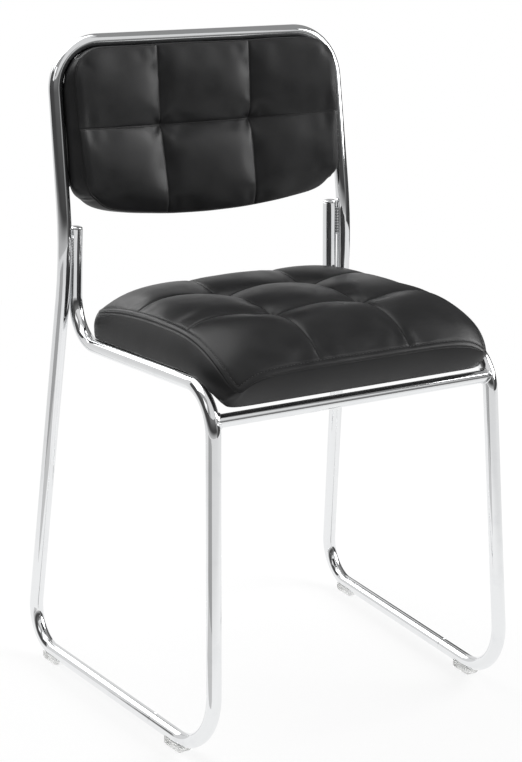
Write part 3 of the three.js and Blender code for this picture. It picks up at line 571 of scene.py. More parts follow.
glideShape = {
    "length": 0.032, "corner": 0.004, "rounding": 0.0025, "lift": 0.0008, "fit": 0.0002,
    "lip": 0.0107, "lipHalf": 0.00015, "lipRise": 0.00016, "front": 0.080, "rear": 0.060,
    "steps": 28, "cornerSteps": 6, "hugSteps": 16,
}


def glidePiece(name, side, end):
    # a saddle of clear plastic under the floor rail, with rounded lips and ends
    start, stop = onSide(side, "floorFront"), onSide(side, "floorRear")
    run = (stop - start).normalized()
    place = start + run * glideShape["front"] if end == "front" else stop - run * glideShape["rear"]
    across = Vector((run.y, -run.x, 0))
    hug = steelFrame["tubeRadius"] + glideShape["fit"]
    axis = steelFrame["floorRear"][2]
    half, corner, rounding = glideShape["length"] / 2, glideShape["corner"], glideShape["rounding"]
    lip, lipHalf, lipRise = glideShape["lip"], glideShape["lipHalf"], glideShape["lipRise"]
    lipAngle = math.asin((axis - lip) / hug)
    lipX = hug * math.cos(lipAngle) + lipHalf
    cornerSteps, hugSteps = glideShape["cornerSteps"], glideShape["hugSteps"]

    def section(lift):
        # bottom corner, rounded lip, the hollow that hugs the tube, and the same mirrored
        cornerX, cornerZ = rounding - lipX - lipHalf, rounding + lift
        outline = []
        for k in range(cornerSteps + 1):
            a = -math.pi / 2 - math.pi / 2 * k / cornerSteps
            outline.append((cornerX + rounding * math.cos(a), cornerZ + rounding * math.sin(a)))
        for k in range(cornerSteps + 1):
            a = math.pi - math.pi * k / cornerSteps
            outline.append((lipHalf * math.cos(a) - lipX, lip + lipRise * math.sin(a)))
        mirrored = [(-x, z) for x, z in outline]
        for k in range(1, hugSteps):
            a = math.pi + lipAngle + (math.pi - 2 * lipAngle) * k / hugSteps
            outline.append((hug * math.cos(a), axis + hug * math.sin(a)))
        return outline + mirrored[::-1]

    rings = []
    for k in range(glideShape["steps"] + 1):
        along = -half * math.cos(math.pi * k / glideShape["steps"])
        past = max(0.0, abs(along) - (half - corner))
        spot = place + run * along
        rings.append([
            Vector((spot.x, spot.y, 0)) + across * x + Vector((0, 0, z))
            for x, z in section(glideShape["lift"] * (past / corner) ** 2)
        ])
    piece = pieceFrom(name, *skinned(rings), clearPlastic, "clear_plastic", 50)
    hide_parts(name)


screwShape = {
    "headRadius": 0.006, "headHeight": 0.0034, "headRoom": 0.0036, "under": 0.0002, "dome": 2.6,
    "slotReach": 0.0032, "slotWidth": 0.0008, "slotTaper": (1.1, 0.5), "slotDepth": 0.0016,
    "slotRamp": 0.4,
    "shankRadius": 0.003, "tip": 0.001, "tipRadius": 0.0015, "steps": 14, "sides": 48,
}


def screwPiece(name):
    # a domed head with a cross recess, over the turned shank of the frame's own screw
    low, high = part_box(name)
    place = (low + high) / 2
    if name.startswith("seat"):
        axis = Vector((0, math.sin(seatCushion["tilt"]), math.cos(seatCushion["tilt"])))
    else:
        axis = Vector((0, -math.cos(backPad["lean"]), math.sin(backPad["lean"])))
    reach = [(v.co - place).dot(axis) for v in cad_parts[name].data.vertices]
    start = min(reach) + screwShape["headRoom"]
    length = max(reach) - start
    slotReach, (wide, taper) = screwShape["slotReach"], screwShape["slotTaper"]
    turn = Vector((0, 0, 1)).rotation_difference(axis)
    rings = []
    for k in range(1, screwShape["steps"] + 1):
        share = k / screwShape["steps"]
        dome = screwShape["headHeight"] * math.sqrt(1 - share ** screwShape["dome"]) + screwShape["under"]
        ring = turnedRing(screwShape["headRadius"] * share, -dome, screwShape["sides"])
        for p in ring:
            across, along = sorted((abs(p.x), abs(p.y)))
            if across < screwShape["slotWidth"] * (wide - taper * share) and along < slotReach:
                p.z += screwShape["slotDepth"] * (1 - along / slotReach) ** screwShape["slotRamp"]
        rings.append(ring)
    shank = screwShape["shankRadius"]
    ends = ((screwShape["headRadius"], 0), (shank, 0), (shank, length - screwShape["tip"]),
            (screwShape["tipRadius"], length))
    rings += [turnedRing(radius, z, screwShape["sides"]) for radius, z in ends]
    whole = [[place + turn @ (p + Vector((0, 0, start))) for p in ring] for ring in rings]
    piece = pieceFrom(name, *skinned(whole), zinc, "zinc_steel", 35)
    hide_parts(name)


tubePiece("back_hoop_tube", *hoopLine())
for label, side in sidesOfChair:
    tubePiece(f"side_tube_{label}", *sideLine(side))
    plugPiece(f"end_plug_{label}", side)
    for end, facing in (("front", -1), ("rear", 1)):
        stubWeldPiece(f"stub_weld_{label}_{end}", side, facing)
        glidePiece(f"glide_{label}_{end}", side, end)

rightLine, _ = bentLine(*sideLine(1))
frontLeg = [spot for spot in rightLine if spot.y < steelFrame["railFront"][1] / 2]
legPoint = atHeight(frontLeg, steelFrame["frontBarHeight"])
crossbarPiece("front_crossbar", legPoint.x, legPoint.y, steelFrame["frontBarHeight"], rightLine)
crossbarPiece("rear_crossbar", steelFrame["railRear"][0], *steelFrame["rearBar"], rightLine)
print("frame tubes made")


# Soft forms
def throughTable(table, share):
    # smooth height at a share of the length, from (share, height) pairs
    places, heights = np.array(table).T
    slopes = np.empty(len(table))
    for k in range(len(table)):
        a, b = max(k - 1, 0), min(k + 1, len(table) - 1)
        slopes[k] = (heights[b] - heights[a]) / (places[b] - places[a])
    i = np.clip(np.searchsorted(places, share, side="left") - 1, 0, len(table) - 2)
    span = places[i + 1] - places[i]
    t = np.clip((share - places[i]) / span, 0, 1)
    return (heights[i] * (1 + 2 * t) * (1 - t) ** 2 + heights[i + 1] * t * t * (3 - 2 * t)
            + span * (slopes[i] * t * (1 - t) ** 2 - slopes[i + 1] * t * t * (1 - t)))


def linesBetween(stops, shares):
    lines = [a + (b - a) * share for a, b in zip(stops, stops[1:]) for share in shares]
    return np.array(lines + [stops[-1]])


def roundedIn(x, y, bounds, corners):
    # draws the corners of a rectangle in to their radii and leaves the rest where it is
    half, low, high = bounds
    middle = (low + high) / 2
    corner = np.where(y < middle, corners[0], corners[1])
    dx = np.abs(x) - (half - corner)
    dy = np.abs(y - middle) - ((high - low) / 2 - corner)
    pull = np.where((dx > 0) & (dy > 0), 1 - np.maximum(dx, dy) / np.maximum(np.hypot(dx, dy), 1e-9), 0)
    return x - np.sign(x) * dx * pull, y - np.sign(y - middle) * dy * pull


def insideEdge(x, y, bounds, corners):
    # distance from the rounded outline to a spot inside it
    half, low, high = bounds
    corner = np.where(y < (low + high) / 2, corners[0], corners[1])
    dx = half - np.abs(x)
    dy = np.minimum(y - low, high - y)
    inCorner = (dx < corner) & (dy < corner)
    return np.where(inCorner, corner - np.hypot(corner - dx, corner - dy), np.minimum(dx, dy))


def marked(mesh, name, values):
    # keeps a value for each point of a mesh
    mesh.attributes.new(name, "FLOAT", "POINT").data.foreach_set("value", values.astype(np.float32))


# Shares of the way down a cushion's side: off the top, near the bottom, and a mark for the bottom itself
offTop, nearBottom, underShare = 0.02, 0.95, 1.3


def closedPad(name, plan, top, rings, bottom, finish):
    # a closed form of quads: a top grid, rings down the sides and a bottom grid
    rows, columns = top.shape[:2]
    rim = [(0, i) for i in range(columns - 1)] + [(j, columns - 1) for j in range(rows - 1)]
    rim += [(rows - 1, i) for i in range(columns - 1, 0, -1)] + [(j, 0) for j in range(rows - 1, 0, -1)]
    points = [tuple(p) for p in top.reshape(-1, 3)]
    sideShares = [0.0] * len(points)
    spots = [(j, i) for j in range(rows) for i in range(columns)]
    upper = [j * columns + i for j, i in rim]
    faces = [
        (a, a + 1, a + 1 + columns, a + columns)
        for a in (j * columns + i for j in range(rows - 1) for i in range(columns - 1))
    ]
    for share, ring in rings:
        first = len(points)
        points += [tuple(ring[j, i]) for j, i in rim]
        sideShares += [share] * len(rim)
        spots += rim
        lower = [first + k for k in range(len(rim))]
        faces += list(zip(upper, lower, lower[1:] + lower[:1], upper[1:] + upper[:1]))
        upper = lower
    under = {spot: upper[k] for k, spot in enumerate(rim)}
    for j in range(1, rows - 1):
        for i in range(1, columns - 1):
            under[(j, i)] = len(points)
            points.append(tuple(bottom[j, i]))
            sideShares.append(underShare)
            spots.append((j, i))
    for j in range(rows - 1):
        for i in range(columns - 1):
            faces.append((under[(j, i)], under[(j + 1, i)], under[(j + 1, i + 1)], under[(j, i + 1)]))
    piece = linked(name, points, faces, finish)
    marked(piece.data, "sideShare", np.array(sideShares))
    for k, axis in enumerate(("planX", "planY")):
        marked(piece.data, axis, np.array([plan[j, i, k] for j, i in spots]))
    piece.data.shade_smooth()
    return piece


def readVectors(data, name):
    flat = np.empty(len(data) * 3)
    data.foreach_get(name, flat)
    return flat.reshape(-1, 3)


def readPoints(mesh):
    return readVectors(mesh.vertices, "co")


def readShares(mesh):
    # how far down the side each point lies, and where it lies in the plan of the cover
    found = []
    for name in ("sideShare", "planX", "planY"):
        values = np.empty(len(mesh.vertices))
        mesh.attributes[name].data.foreach_get("value", values)
        found.append(values)
    return found


def writePoints(mesh, points):
    mesh.vertices.foreach_set("co", points.astype(np.float32).ravel())
    mesh.update()


coverCloth = {"pin": 5, "quality": 8, "mass": 0.15, "shearShare": 0.6, "sewnHalf": 0.0008}


def blownUp(piece, sewn, settings):
    # cloth under pressure between its sewn lines, each point held to the most that it may move
    start = readPoints(piece.data)
    group = piece.vertex_groups.new(name="sewn")
    for index, weight in enumerate(sewn):
        if weight > 0:
            group.add([index], float(weight), "REPLACE")
    cloth = piece.modifiers.new("cover", "CLOTH")
    cloth.settings.vertex_group_mass = "sewn"
    cloth.settings.pin_stiffness = coverCloth["pin"]
    cloth.settings.quality = coverCloth["quality"]
    cloth.settings.mass = coverCloth["mass"]
    cloth.settings.tension_stiffness = settings["stretch"]
    cloth.settings.compression_stiffness = settings["stretch"]
    cloth.settings.shear_stiffness = settings["stretch"] * coverCloth["shearShare"]
    cloth.settings.bending_stiffness = settings["bending"]
    cloth.settings.use_pressure = True
    cloth.settings.uniform_pressure_force = settings["pressure"]
    cloth.settings.shrink_min = -settings["spare"]
    cloth.settings.effector_weights.gravity = 0
    cloth.collision_settings.use_collision = False
    cloth.point_cache.frame_start, cloth.point_cache.frame_end = 1, settings["frames"]
    for moment in range(1, settings["frames"] + 1):
        scene.frame_set(moment)
    moved = readPoints(piece.evaluated_get(bpy.context.evaluated_depsgraph_get()).to_mesh()) - start
    piece.modifiers.remove(cloth)
    piece.vertex_groups.remove(group)
    scene.frame_set(1)
    far = np.linalg.norm(moved, axis=1)
    most = settings["most"]
    held = most * np.tanh(far / most) / np.maximum(far, 1e-9)
    print(f"  {piece.name}: cover moved {far.max() * 1000:.1f} mm at most")
    writePoints(piece.data, start + moved * held[:, None])


def refined(piece, levels):
    smooth = piece.modifiers.new("refine", "SUBSURF")
    smooth.levels = smooth.render_levels = levels
    mesh = bpy.data.meshes.new_from_object(piece.evaluated_get(bpy.context.evaluated_depsgraph_get()))
    piece.modifiers.remove(smooth)
    piece.data = mesh
    mesh.shade_smooth()


stitchShape = {
    "share": 0.68, "radius": 0.00045, "sunk": 0.75, "sides": 6,
    "swell": ((0, 0.35), (0.18, 0.9), (0.5, 1), (0.82, 0.9), (1, 0.35)),
}


def stitchRow(name, piece, spots):
    # short sunk threads along a row of spots on a cover, found by looking down on it
    thick, sides, swell = stitchShape["radius"], stitchShape["sides"], stitchShape["swell"]
    mesh = piece.data
    tree = BVHTree.FromPolygons([v.co for v in mesh.vertices], [p.vertices for p in mesh.polygons])
    points, faces = [], []
    for start, end, down in spots:
        a = tree.ray_cast(start, down)
        b = tree.ray_cast(end, down)
        if a[0] is None or b[0] is None:
            continue
        low, high = a[0], a[0].lerp(b[0], stitchShape["share"])
        up = (a[1] + b[1]).normalized()
        across = (high - low).cross(up).normalized()
        rings = []
        for share, size in swell:
            middle = low.lerp(high, share) + up * thick * (size - stitchShape["sunk"])
            rings.append([
                middle + (across * math.cos(t) + up * math.sin(t)) * thick * size for t in circle(sides)
            ])
        stitchPoints, stitchFaces = skinned(rings)
        faces += [tuple(len(points) + corner for corner in face) for face in stitchFaces]
        points += stitchPoints
    return pieceFrom(name, points, faces, thread, "leatherette", 60)


# Places of the grid lines in each panel, and of the rings down a cushion's sides
panelShares = [0, 0.03, 0.075, 0.14, 0.22, 0.33, 0.5, 0.67, 0.78, 0.86, 0.925, 0.97]
sideRings = [0.035, 0.08, 0.14, 0.23, 0.35, 0.5, 0.66, 0.82, 0.93, 1]

# Each cushion in its own frame, in which z points out of its face. Outlines are (half width, low, high),
# channels are (along y, along x), tufts (sharp, broad), puckers (pitch, reach, height), joins (share down
# the side, width, depth), unevenness (size, seed, height), edge wear (share down the side, width,
# strength), and the weights of painted shade that darkens the colour (seam, join, stitch or hollow).
seatCushion = {
    "tilt": 0.049113, "origin": (0, -0.192451, 0.463989),
    "welt": (0.18538, -0.023, 0.31496), "weltCorners": (0.009, 0.014),
    "base": (0.19538, -0.008, 0.32096), "baseCorners": (0.038, 0.032),
    "boxing": 0.042, "crown": 0.0637, "fullness": 6.0, "drawIn": 0.003, "sideBulge": 0.004, "endBulge": 1.0,
    "cornerIn": 0.012, "cornerDrop": 0.005, "cornerReach": (0.18, 0.30),
    "seamsX": (-0.06303, 0.06303), "seamsY": (0.08718, 0.20951),
    "channel": (0.0060, 0.0060), "seamWeights": (1.0, 1.0), "channelWidth": 0.017, "puff": 0.002,
    "tuft": (0.0085, 0.0065), "tuftWidth": (0.013, 0.045), "frontTuft": 0.65,
    "edgeDepth": 0.3, "edgeReach": (0.045, 0.055),
    "edge": [(0, -0.2), (0.077, 0.3), (0.152, 0.62), (0.298, 0.92), (0.479, 1.01),
             (0.655, 1.01), (0.827, 0.93), (0.961, 0.79), (1, 0.72)],
    "crest": [(0, 0.12), (0.024, 0.24), (0.083, 0.53), (0.188, 0.82), (0.321, 0.95), (0.5, 1),
              (0.679, 1.03), (0.842, 1.03), (0.917, 0.98), (0.961, 0.89), (1, 0.64)],
    "clear": 0.00015, "bendMiddle": (0.054159, -0.064), "bendReach": 0.064, "lipReach": 0.05519,
    "seam": (0.0011, 0.0010), "pucker": (0.011, 0.009, 0.00012), "join": (0.055, 0.022, 0.0006),
    "uneven": (0.05, 3, 0.0006), "edgePucker": (0.0084, 0.010, 0.0002),
    "stitchInset": 0.0045, "stitchPitch": 0.0042, "stitchSink": (0.0008, 0.0006), "insideFade": 0.002,
    "foldPlace": 0.45, "foldHeight": 0.0003, "foldWear": 0.9, "edgeWear": (0.01, 0.02, 0.5),
    "paintedShades": (0.6, 0.3, 0.7), "heldRim": 0.006,
    "cloth": {"pressure": 4.0, "stretch": 25, "bending": 0.4, "spare": 0.008, "frames": 20, "most": 0.006},
}
backPad = {
    "lean": 0.136217, "origin": (0, 0.149606, 0.552),
    "welt": (0.188, 0.0370, 0.25182), "weltCorners": (0.042, 0.042), "faceSplay": 0.043, "splayFrom": 0.25,
    "base": (0.19600, 0.0385, 0.25180), "baseCorners": (0.041, 0.0512), "baseSplay": 0.0037,
    "bow": 0.0205, "face": 0.027, "rear": 0.0, "sag": 0.008, "sideBulge": 0.004, "endBulge": 0.5,
    "seamsX": (-0.068, 0.063), "seamsY": (0.1515,), "frontTuft": 1.0,
    "channel": (0.0062, 0.0092), "seamWeights": (1.0, 0.72), "channelWidth": 0.017, "edgeChannel": 0.35,
    "puff": 0.003, "tuft": (0.0050, 0.0), "tuftWidth": (0.0150, 0.045),
    "edgeDepth": 0.25, "edgeReach": (0.035, 0.070),
    "lowDrop": 0.009, "lowReach": 0.032, "roll": (0.005, 0.006, 0.0006),
    "seam": (0.0010, 0.0009), "pucker": (0.012, 0.009, 0.00010), "join": (0.04, 0.025, 0.0008),
    # hollow is the reach of painted shade round the tufts; tie is the place above the seam, width and end of
    # painted shade between them
    "uneven": (0.05, 8, 0.0006), "hollow": 0.011, "tie": (0.0012, 0.0026, 0.008),
    "edgeWear": (0.005, 0.012, 0.6), "paintedShades": (0.5, 0.8, 0.7), "heldRim": 0.004,
    "cloth": {"pressure": 4.0, "stretch": 25, "bending": 1.0, "spare": 0.005, "frames": 20, "most": 0.005},
}
tuftFolds = {"count": 4, "turn": 0.7, "start": 0.006, "reach": 0.014, "height": 0.0006}
seatPlace = Matrix.Translation(seatCushion["origin"]) @ Matrix.Rotation(-seatCushion["tilt"], 4, "X")
backPlace = Matrix.Translation(backPad["origin"]) @ Matrix.Rotation(math.pi / 2 - backPad["lean"], 4, "X")


def placed(points, place):
    # points of a cushion's own frame, moved to the chair's
    turn = np.array(place.to_3x3())
    return points @ turn.T + np.array(place.translation)


def nearSeams(x, y, pad):
    nearX = np.min([np.abs(x - s) for s in pad["seamsX"]], axis=0)
    nearY = np.min([np.abs(y - s) for s in pad["seamsY"]], axis=0)
    return nearX, nearY


def outside(value, seams):
    # how far past the outermost seams a spot lies
    return np.maximum(0, np.maximum(min(seams) - value, value - max(seams)))


def channelDepth(x, y, pad):
    nearX, nearY = nearSeams(x, y, pad)
    grooveX, grooveY = np.exp(-nearX / pad["channelWidth"]), np.exp(-nearY / pad["channelWidth"])
    rows = pad["seamsY"]
    rear = np.clip((y - rows[0]) / max(rows[-1] - rows[0], 1e-6), 0, 1)
    away = np.hypot(nearX, nearY)
    (sharp, broad), (sharpWidth, broadWidth) = pad["tuft"], pad["tuftWidth"]
    tuft = sharp * np.exp(-away / sharpWidth) + broad * np.exp(-(away / broadWidth) ** 2)
    tuft = tuft * (pad["frontTuft"] + (1 - pad["frontTuft"]) * rear)
    puff = (1 - grooveX) * (1 - grooveY)
    shallow = 1 - pad["edgeDepth"]
    reachX, reachY = pad["edgeReach"]
    depthX = 1 - shallow * (1 - np.exp(-(outside(y, pad["seamsY"]) / reachY) ** 2))
    depthY = 1 - shallow * (1 - np.exp(-(outside(x, pad["seamsX"]) / reachX) ** 2))
    alongY, alongX = pad["channel"]
    weight = np.interp(x, pad["seamsX"], pad["seamWeights"])
    channel = np.maximum(weight * alongY * grooveX * depthX, alongX * grooveY * depthY)
    return channel + tuft - pad["puff"] * puff


def fadedIn(shareX, shareY):
    # full over the middle of a cushion, and nothing at its outline
    pace, endPace = 3, 6
    return np.clip(np.minimum(pace * (1 - shareX), endPace * np.minimum(shareY, 1 - shareY)), 0, 1)


def seatBase(y):
    # the height of the cushion's underside, which follows the board's bend at the front
    middleY, middleZ = seatCushion["bendMiddle"]
    reach = seatCushion["bendReach"] + seatCushion["clear"]
    ahead = np.clip(middleY - y, 0, seatCushion["lipReach"])
    return middleZ + np.sqrt(reach ** 2 - ahead ** 2)


def seatDrawn(x, share):
    # the sides of the top pull in between its corners, and the front corners are tucked in
    half = seatCushion["welt"][0]
    back, across = seatCushion["cornerReach"]
    tuck = np.clip(1 - share / back, 0, 1) ** 4 * np.clip((np.abs(x) / half - 1 + across) / across, 0, 1) ** 2
    pulled = x * (1 - seatCushion["drawIn"] / half * (1 - (2 * share - 1) ** 2))
    return pulled, np.sign(x) * seatCushion["cornerIn"] * tuck, seatCushion["cornerDrop"] * tuck


def carried(x, share, half, bounds, corners):
    # where the panel grid's spots lie within another rounded outline
    across = x / half * bounds[0]
    along = bounds[1] + (bounds[2] - bounds[1]) * share
    return roundedIn(across, along, bounds, corners)


def ringsDown(top, low, x, y, outline, bulge, endBulge):
    # rings from the top's edge to the bottom's, which bulge out at the sides and at both ends
    half, lowest, highest = outline
    rings = []
    for down in sideRings:
        swell = bulge * 4 * down * (1 - down)
        ring = top + (low - top) * down
        ring[..., 0] += np.where(np.abs(x) >= half - 1e-9, np.sign(x) * swell, 0)
        ends = np.where(y >= highest - 1e-9, swell, np.where(y <= lowest + 1e-9, -swell, 0))
        ring[..., 1] += ends * endBulge
        rings.append((down, ring))
    return rings


def seatGrids():
    # the cover in the cushion's own frame: its plan, top, rings down the sides and bottom
    half, front, rear = seatCushion["welt"]
    linesX = linesBetween([-half, *seatCushion["seamsX"], half], panelShares)
    linesY = linesBetween([front, *seatCushion["seamsY"], rear], panelShares)
    x, y = np.meshgrid(linesX, linesY)
    share = (y - front) / (rear - front)
    planX, topY = carried(x, share, half, seatCushion["welt"], seatCushion["weltCorners"])
    topShare = np.clip((topY - front) / (rear - front), 0, 1)
    pulled, tucked, drop = seatDrawn(planX, topShare)
    shareX = np.minimum(1, np.abs(pulled) / half)
    topX = pulled - tucked
    edge = throughTable(seatCushion["edge"], topShare) * seatCushion["boxing"]
    crest = throughTable(seatCushion["crest"], topShare) * seatCushion["crown"]
    rise = edge + (crest - edge) * (1 - shareX ** seatCushion["fullness"])
    topZ = rise - drop - fadedIn(shareX, topShare) * channelDepth(planX, topY, seatCushion)
    top = np.stack([topX, topY, topZ], axis=-1)
    lowX, lowY = carried(x, share, half, seatCushion["base"], seatCushion["baseCorners"])
    low = np.stack([lowX, lowY, seatBase(lowY)], axis=-1)
    rings = ringsDown(top, low, x, y, seatCushion["welt"], seatCushion["sideBulge"], seatCushion["endBulge"])
    return np.stack([planX, topY], axis=-1), top, rings, low


# Waves of (size, radians per metre, shift) that make the puckers' pitch and height uneven
puckerPitch = ((0.003, 170, 0), (0.002, 61, 1))
puckerHeight = (0.4, 95, 2)


def puckers(along, away, pitch, reach):
    # small folds across a sewn line, uneven along it and fading away from it
    wander = along
    for size, pace, shift in puckerPitch:
        wander = wander + size * np.sin(along * pace + shift)
    size, pace, shift = puckerHeight
    height = 1 - size + size * np.sin(along * pace + shift)
    return np.sin(wander * 2 * math.pi / pitch) * height * np.exp(-away / reach)


def unevenness(points, size, seed, height):
    return np.array([noise.noise(Vector(p) / size + Vector((seed, 0, 0))) for p in points]) * height


def coverFrom(name, grids, place, pad):
    # the closed cover, blown up between its seams and then refined
    plan, top, rings, low = grids
    rings = [(share, placed(ring, place)) for share, ring in rings]
    cover = closedPad(name, plan, placed(top, place), rings, placed(low, place), leatherette)
    shares, x, y = readShares(cover.data)
    nearX, nearY = nearSeams(x, y, pad)
    rimmed = insideEdge(x, y, pad["welt"], pad["weltCorners"]) < pad["heldRim"]
    held = (np.minimum(nearX, nearY) < coverCloth["sewnHalf"]) | (shares > 0) | rimmed
    blownUp(cover, held.astype(float), pad["cloth"])
    refined(cover, 2)
    return cover


def sewnRelief(pad, points, shares, x, y, onTop, inside):
    # how far seams, tufts, puckers and slack cloth move a cover's points, and the seams and joins themselves
    nearX, nearY = nearSeams(x, y, pad)
    far, around = np.hypot(nearX, nearY), np.arctan2(nearY, nearX)
    seamWidth, seamDepth = pad["seam"]
    joinPlace, joinWidth, joinDepth = pad["join"]
    pitch, reach, height = pad["pucker"]
    seam = np.exp(-(np.minimum(nearX, nearY) / seamWidth) ** 2) * onTop * inside
    join = np.exp(-((shares - joinPlace) / joinWidth) ** 2)
    folds = np.cos(around * tuftFolds["count"] + tuftFolds["turn"]) * np.exp(-far / tuftFolds["reach"])
    folds *= np.clip(far / tuftFolds["start"], 0, 1) * tuftFolds["height"]
    across = puckers(x, nearY, pitch, reach) + puckers(y, nearX, pitch, reach)
    move = onTop * inside * across * height + onTop * folds - seamDepth * seam - joinDepth * join
    return move + unevenness(points, *pad["uneven"]) * (shares < nearBottom), seam, join


def wornEdge(pad, shares):
    place, width, strength = pad["edgeWear"]
    return np.exp(-((shares - place) / width) ** 2) * strength


def dressed(cushion, move, paintedSeamShade, edgeWear, *stoodFor):
    # moves a cover's points along their normals, marks its wear and the painted shade of its seams, and
    # registers the piece
    mesh = cushion.data
    writePoints(mesh, readPoints(mesh) + readVectors(mesh.vertex_normals, "vector") * move[:, None])
    marked(mesh, "paintedSeamShade", np.clip(paintedSeamShade, 0, 1))
    marked(mesh, "edgeWear", np.clip(edgeWear, 0, 1))
    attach(cushion, "root")
    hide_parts(*stoodFor)


def makeSeat():
    cushion = coverFrom("seat_cushion", seatGrids(), seatPlace, seatCushion)
    shares, x, y = readShares(cushion.data)
    onTop = np.clip(1 - shares / offTop, 0, 1)
    inner = insideEdge(x, y, seatCushion["welt"], seatCushion["weltCorners"])
    inset, (stitchWidth, stitchDepth) = seatCushion["stitchInset"], seatCushion["stitchSink"]
    inside = np.clip((inner - inset) / seatCushion["insideFade"], 0, 1)
    move, seam, join = sewnRelief(seatCushion, readPoints(cushion.data), shares, x, y, onTop, inside)
    stitch = np.exp(-((inner - inset) / stitchWidth) ** 2) * onTop
    foldPlace = inset * seatCushion["foldPlace"]
    fold = np.clip(1 - np.abs(inner - foldPlace) / foldPlace, 0, 1) * onTop
    pitch, reach, height = seatCushion["edgePucker"]
    move += onTop * inside * puckers(x + y, inner, pitch, reach) * height
    move += seatCushion["foldHeight"] * fold - stitchDepth * stitch
    # painted shade: the colour darkens along the seams, the stitch line and the join down the sides
    bySeam, byJoin, byStitch = seatCushion["paintedShades"]
    paintedSeamShade = seam * bySeam + stitch * byStitch + join * byJoin
    edgeWear = fold * seatCushion["foldWear"] + wornEdge(seatCushion, shares)
    dressed(cushion, move, paintedSeamShade, edgeWear, "seat_cover", "seat_foam")
    return cushion


def stitchSpots(inset, pitch):
    # pairs of spots above a line that runs inside the edge of the seat's top
    high, step, leastRadius, cornerSteps = 0.2, 0.0005, 0.002, 8
    half, low, top = seatCushion["welt"]
    wide, front, rear = half - inset, low + inset, top - inset
    radii = [max(leastRadius, radius - inset) for radius in seatCushion["weltCorners"]]
    path = []
    for sx, sy, corner in ((1, -1, radii[0]), (1, 1, radii[1]), (-1, 1, radii[1]), (-1, -1, radii[0])):
        middle = (sx * (wide - corner), front + corner if sy < 0 else rear - corner)
        first = math.atan2(sy, sx) - math.pi / 4
        for k in range(cornerSteps + 1):
            angle = first + math.pi / 2 * k / cornerSteps
            path.append((middle[0] + corner * math.cos(angle), middle[1] + corner * math.sin(angle)))
    path.append(path[0])

    def lifted(x, y):
        pulled, tucked, _ = seatDrawn(x, (y - low) / (top - low))
        return seatPlace @ Vector((pulled - tucked, y, high))

    spots, run = [lifted(*path[0])], 0.0
    for (ax, ay), (bx, by) in zip(path, path[1:]):
        count = max(1, round(math.hypot(bx - ax, by - ay) / step))
        for k in range(1, count + 1):
            run += math.hypot(bx - ax, by - ay) / count
            if run >= pitch:
                spots.append(lifted(ax + (bx - ax) * k / count, ay + (by - ay) * k / count))
                run = 0.0
    down = -(seatPlace.to_3x3() @ Vector((0, 0, 1)))
    return [(a, b, down) for a, b in zip(spots, spots[1:])]


def backSag(x):
    # how far the curved pad's middle lies behind its sides
    return -backPad["sag"] * (1 - np.minimum(1, np.abs(x) / backPad["welt"][0]) ** 2)


def backGrids():
    # the same for the back pad, whose lower edge curves up towards its corners
    half, lowest, highest = backPad["welt"]
    linesX = linesBetween([-half, *backPad["seamsX"], half], panelShares)
    linesY = linesBetween([lowest, *backPad["seamsY"], highest], panelShares)
    x, y = np.meshgrid(linesX, linesY)
    share = (y - lowest) / (highest - lowest)

    def plan(bounds, corners):
        px, py = carried(x, share, half, bounds, corners)
        return px, py + backPad["bow"] * (1 - share) ** 3 * np.minimum(1, np.abs(px) / bounds[0]) ** 2

    planX, planY = roundedIn(x, y, backPad["welt"], backPad["weltCorners"])
    topX, topY = plan(backPad["welt"], backPad["weltCorners"])
    topX = topX * (1 + backPad["faceSplay"] * (share - backPad["splayFrom"]))
    rim = fadedIn(np.abs(x) / half, share)
    fading = backPad["edgeChannel"] + (1 - backPad["edgeChannel"]) * rim
    low = np.clip(1 - (planY - lowest) / backPad["lowReach"], 0, 1) ** 2
    drawn = fading * channelDepth(planX, planY, backPad) + backPad["lowDrop"] * low
    topZ = backPad["face"] + backSag(topX) - drawn
    top = np.stack([topX, topY, topZ], axis=-1)
    lowX, lowY = plan(backPad["base"], backPad["baseCorners"])
    lowX = lowX * (1 + backPad["baseSplay"] / half * (1 - share))
    low = np.stack([lowX, lowY, backPad["rear"] + backSag(lowX)], axis=-1)
    rings = ringsDown(top, low, x, y, backPad["welt"], backPad["sideBulge"], backPad["endBulge"])
    return np.stack([planX, planY], axis=-1), top, rings, low


def makeBack():
    pad = coverFrom("back_pad", backGrids(), backPlace, backPad)
    shares, x, y = readShares(pad.data)
    onTop = np.clip(1 - shares / offTop, 0, 1)
    move, seam, join = sewnRelief(backPad, readPoints(pad.data), shares, x, y, onTop, 1)
    rollPlace, rollWidth, rollHeight = backPad["roll"]
    inner = backPad["welt"][0] - np.abs(x)
    move += rollHeight * np.exp(-((inner - rollPlace) / rollWidth) ** 2) * onTop
    # painted shade darkens the hollows at the tufts and the upper lip of the seam that ties them, as it does
    # the seams and joins
    above, tieWidth, tieEnd = backPad["tie"]
    hollow = np.exp(-(np.hypot(*nearSeams(x, y, backPad)) / backPad["hollow"]) ** 2)
    tie = np.exp(-((y - backPad["seamsY"][0] - above) / tieWidth) ** 2)
    tie = tie * np.exp(-(outside(x, backPad["seamsX"]) / tieEnd) ** 2)
    bySeam, byJoin, byHollow = backPad["paintedShades"]
    paintedSeamShade = seam * bySeam + join * byJoin + (hollow + tie) * byHollow * onTop
    dressed(pad, move, paintedSeamShade, wornEdge(backPad, shares), "back_cover", "back_foam")


seat = makeSeat()
stitchRow("seat_top_stitching", seat, stitchSpots(seatCushion["stitchInset"], seatCushion["stitchPitch"]))
makeBack()
print("cushions made")

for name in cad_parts:
    if "_screw_" in name:
        screwPiece(name)

nodeFinishes = {
    "rail_sleeve": zinc, "seat_tab": zinc, "back_tab": zinc, "tee_nut": zinc,
    "seat_board": plywood, "back_board": plywood,
    "seat_dust_cover": nonWoven, "back_rear_panel": rearLeatherette,
}
for name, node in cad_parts.items():
    finish = next((f for part, f in nodeFinishes.items() if part in name), None)
    if finish:
        node.data.materials.clear()
        node.data.materials.append(finish)
print("small pieces made")


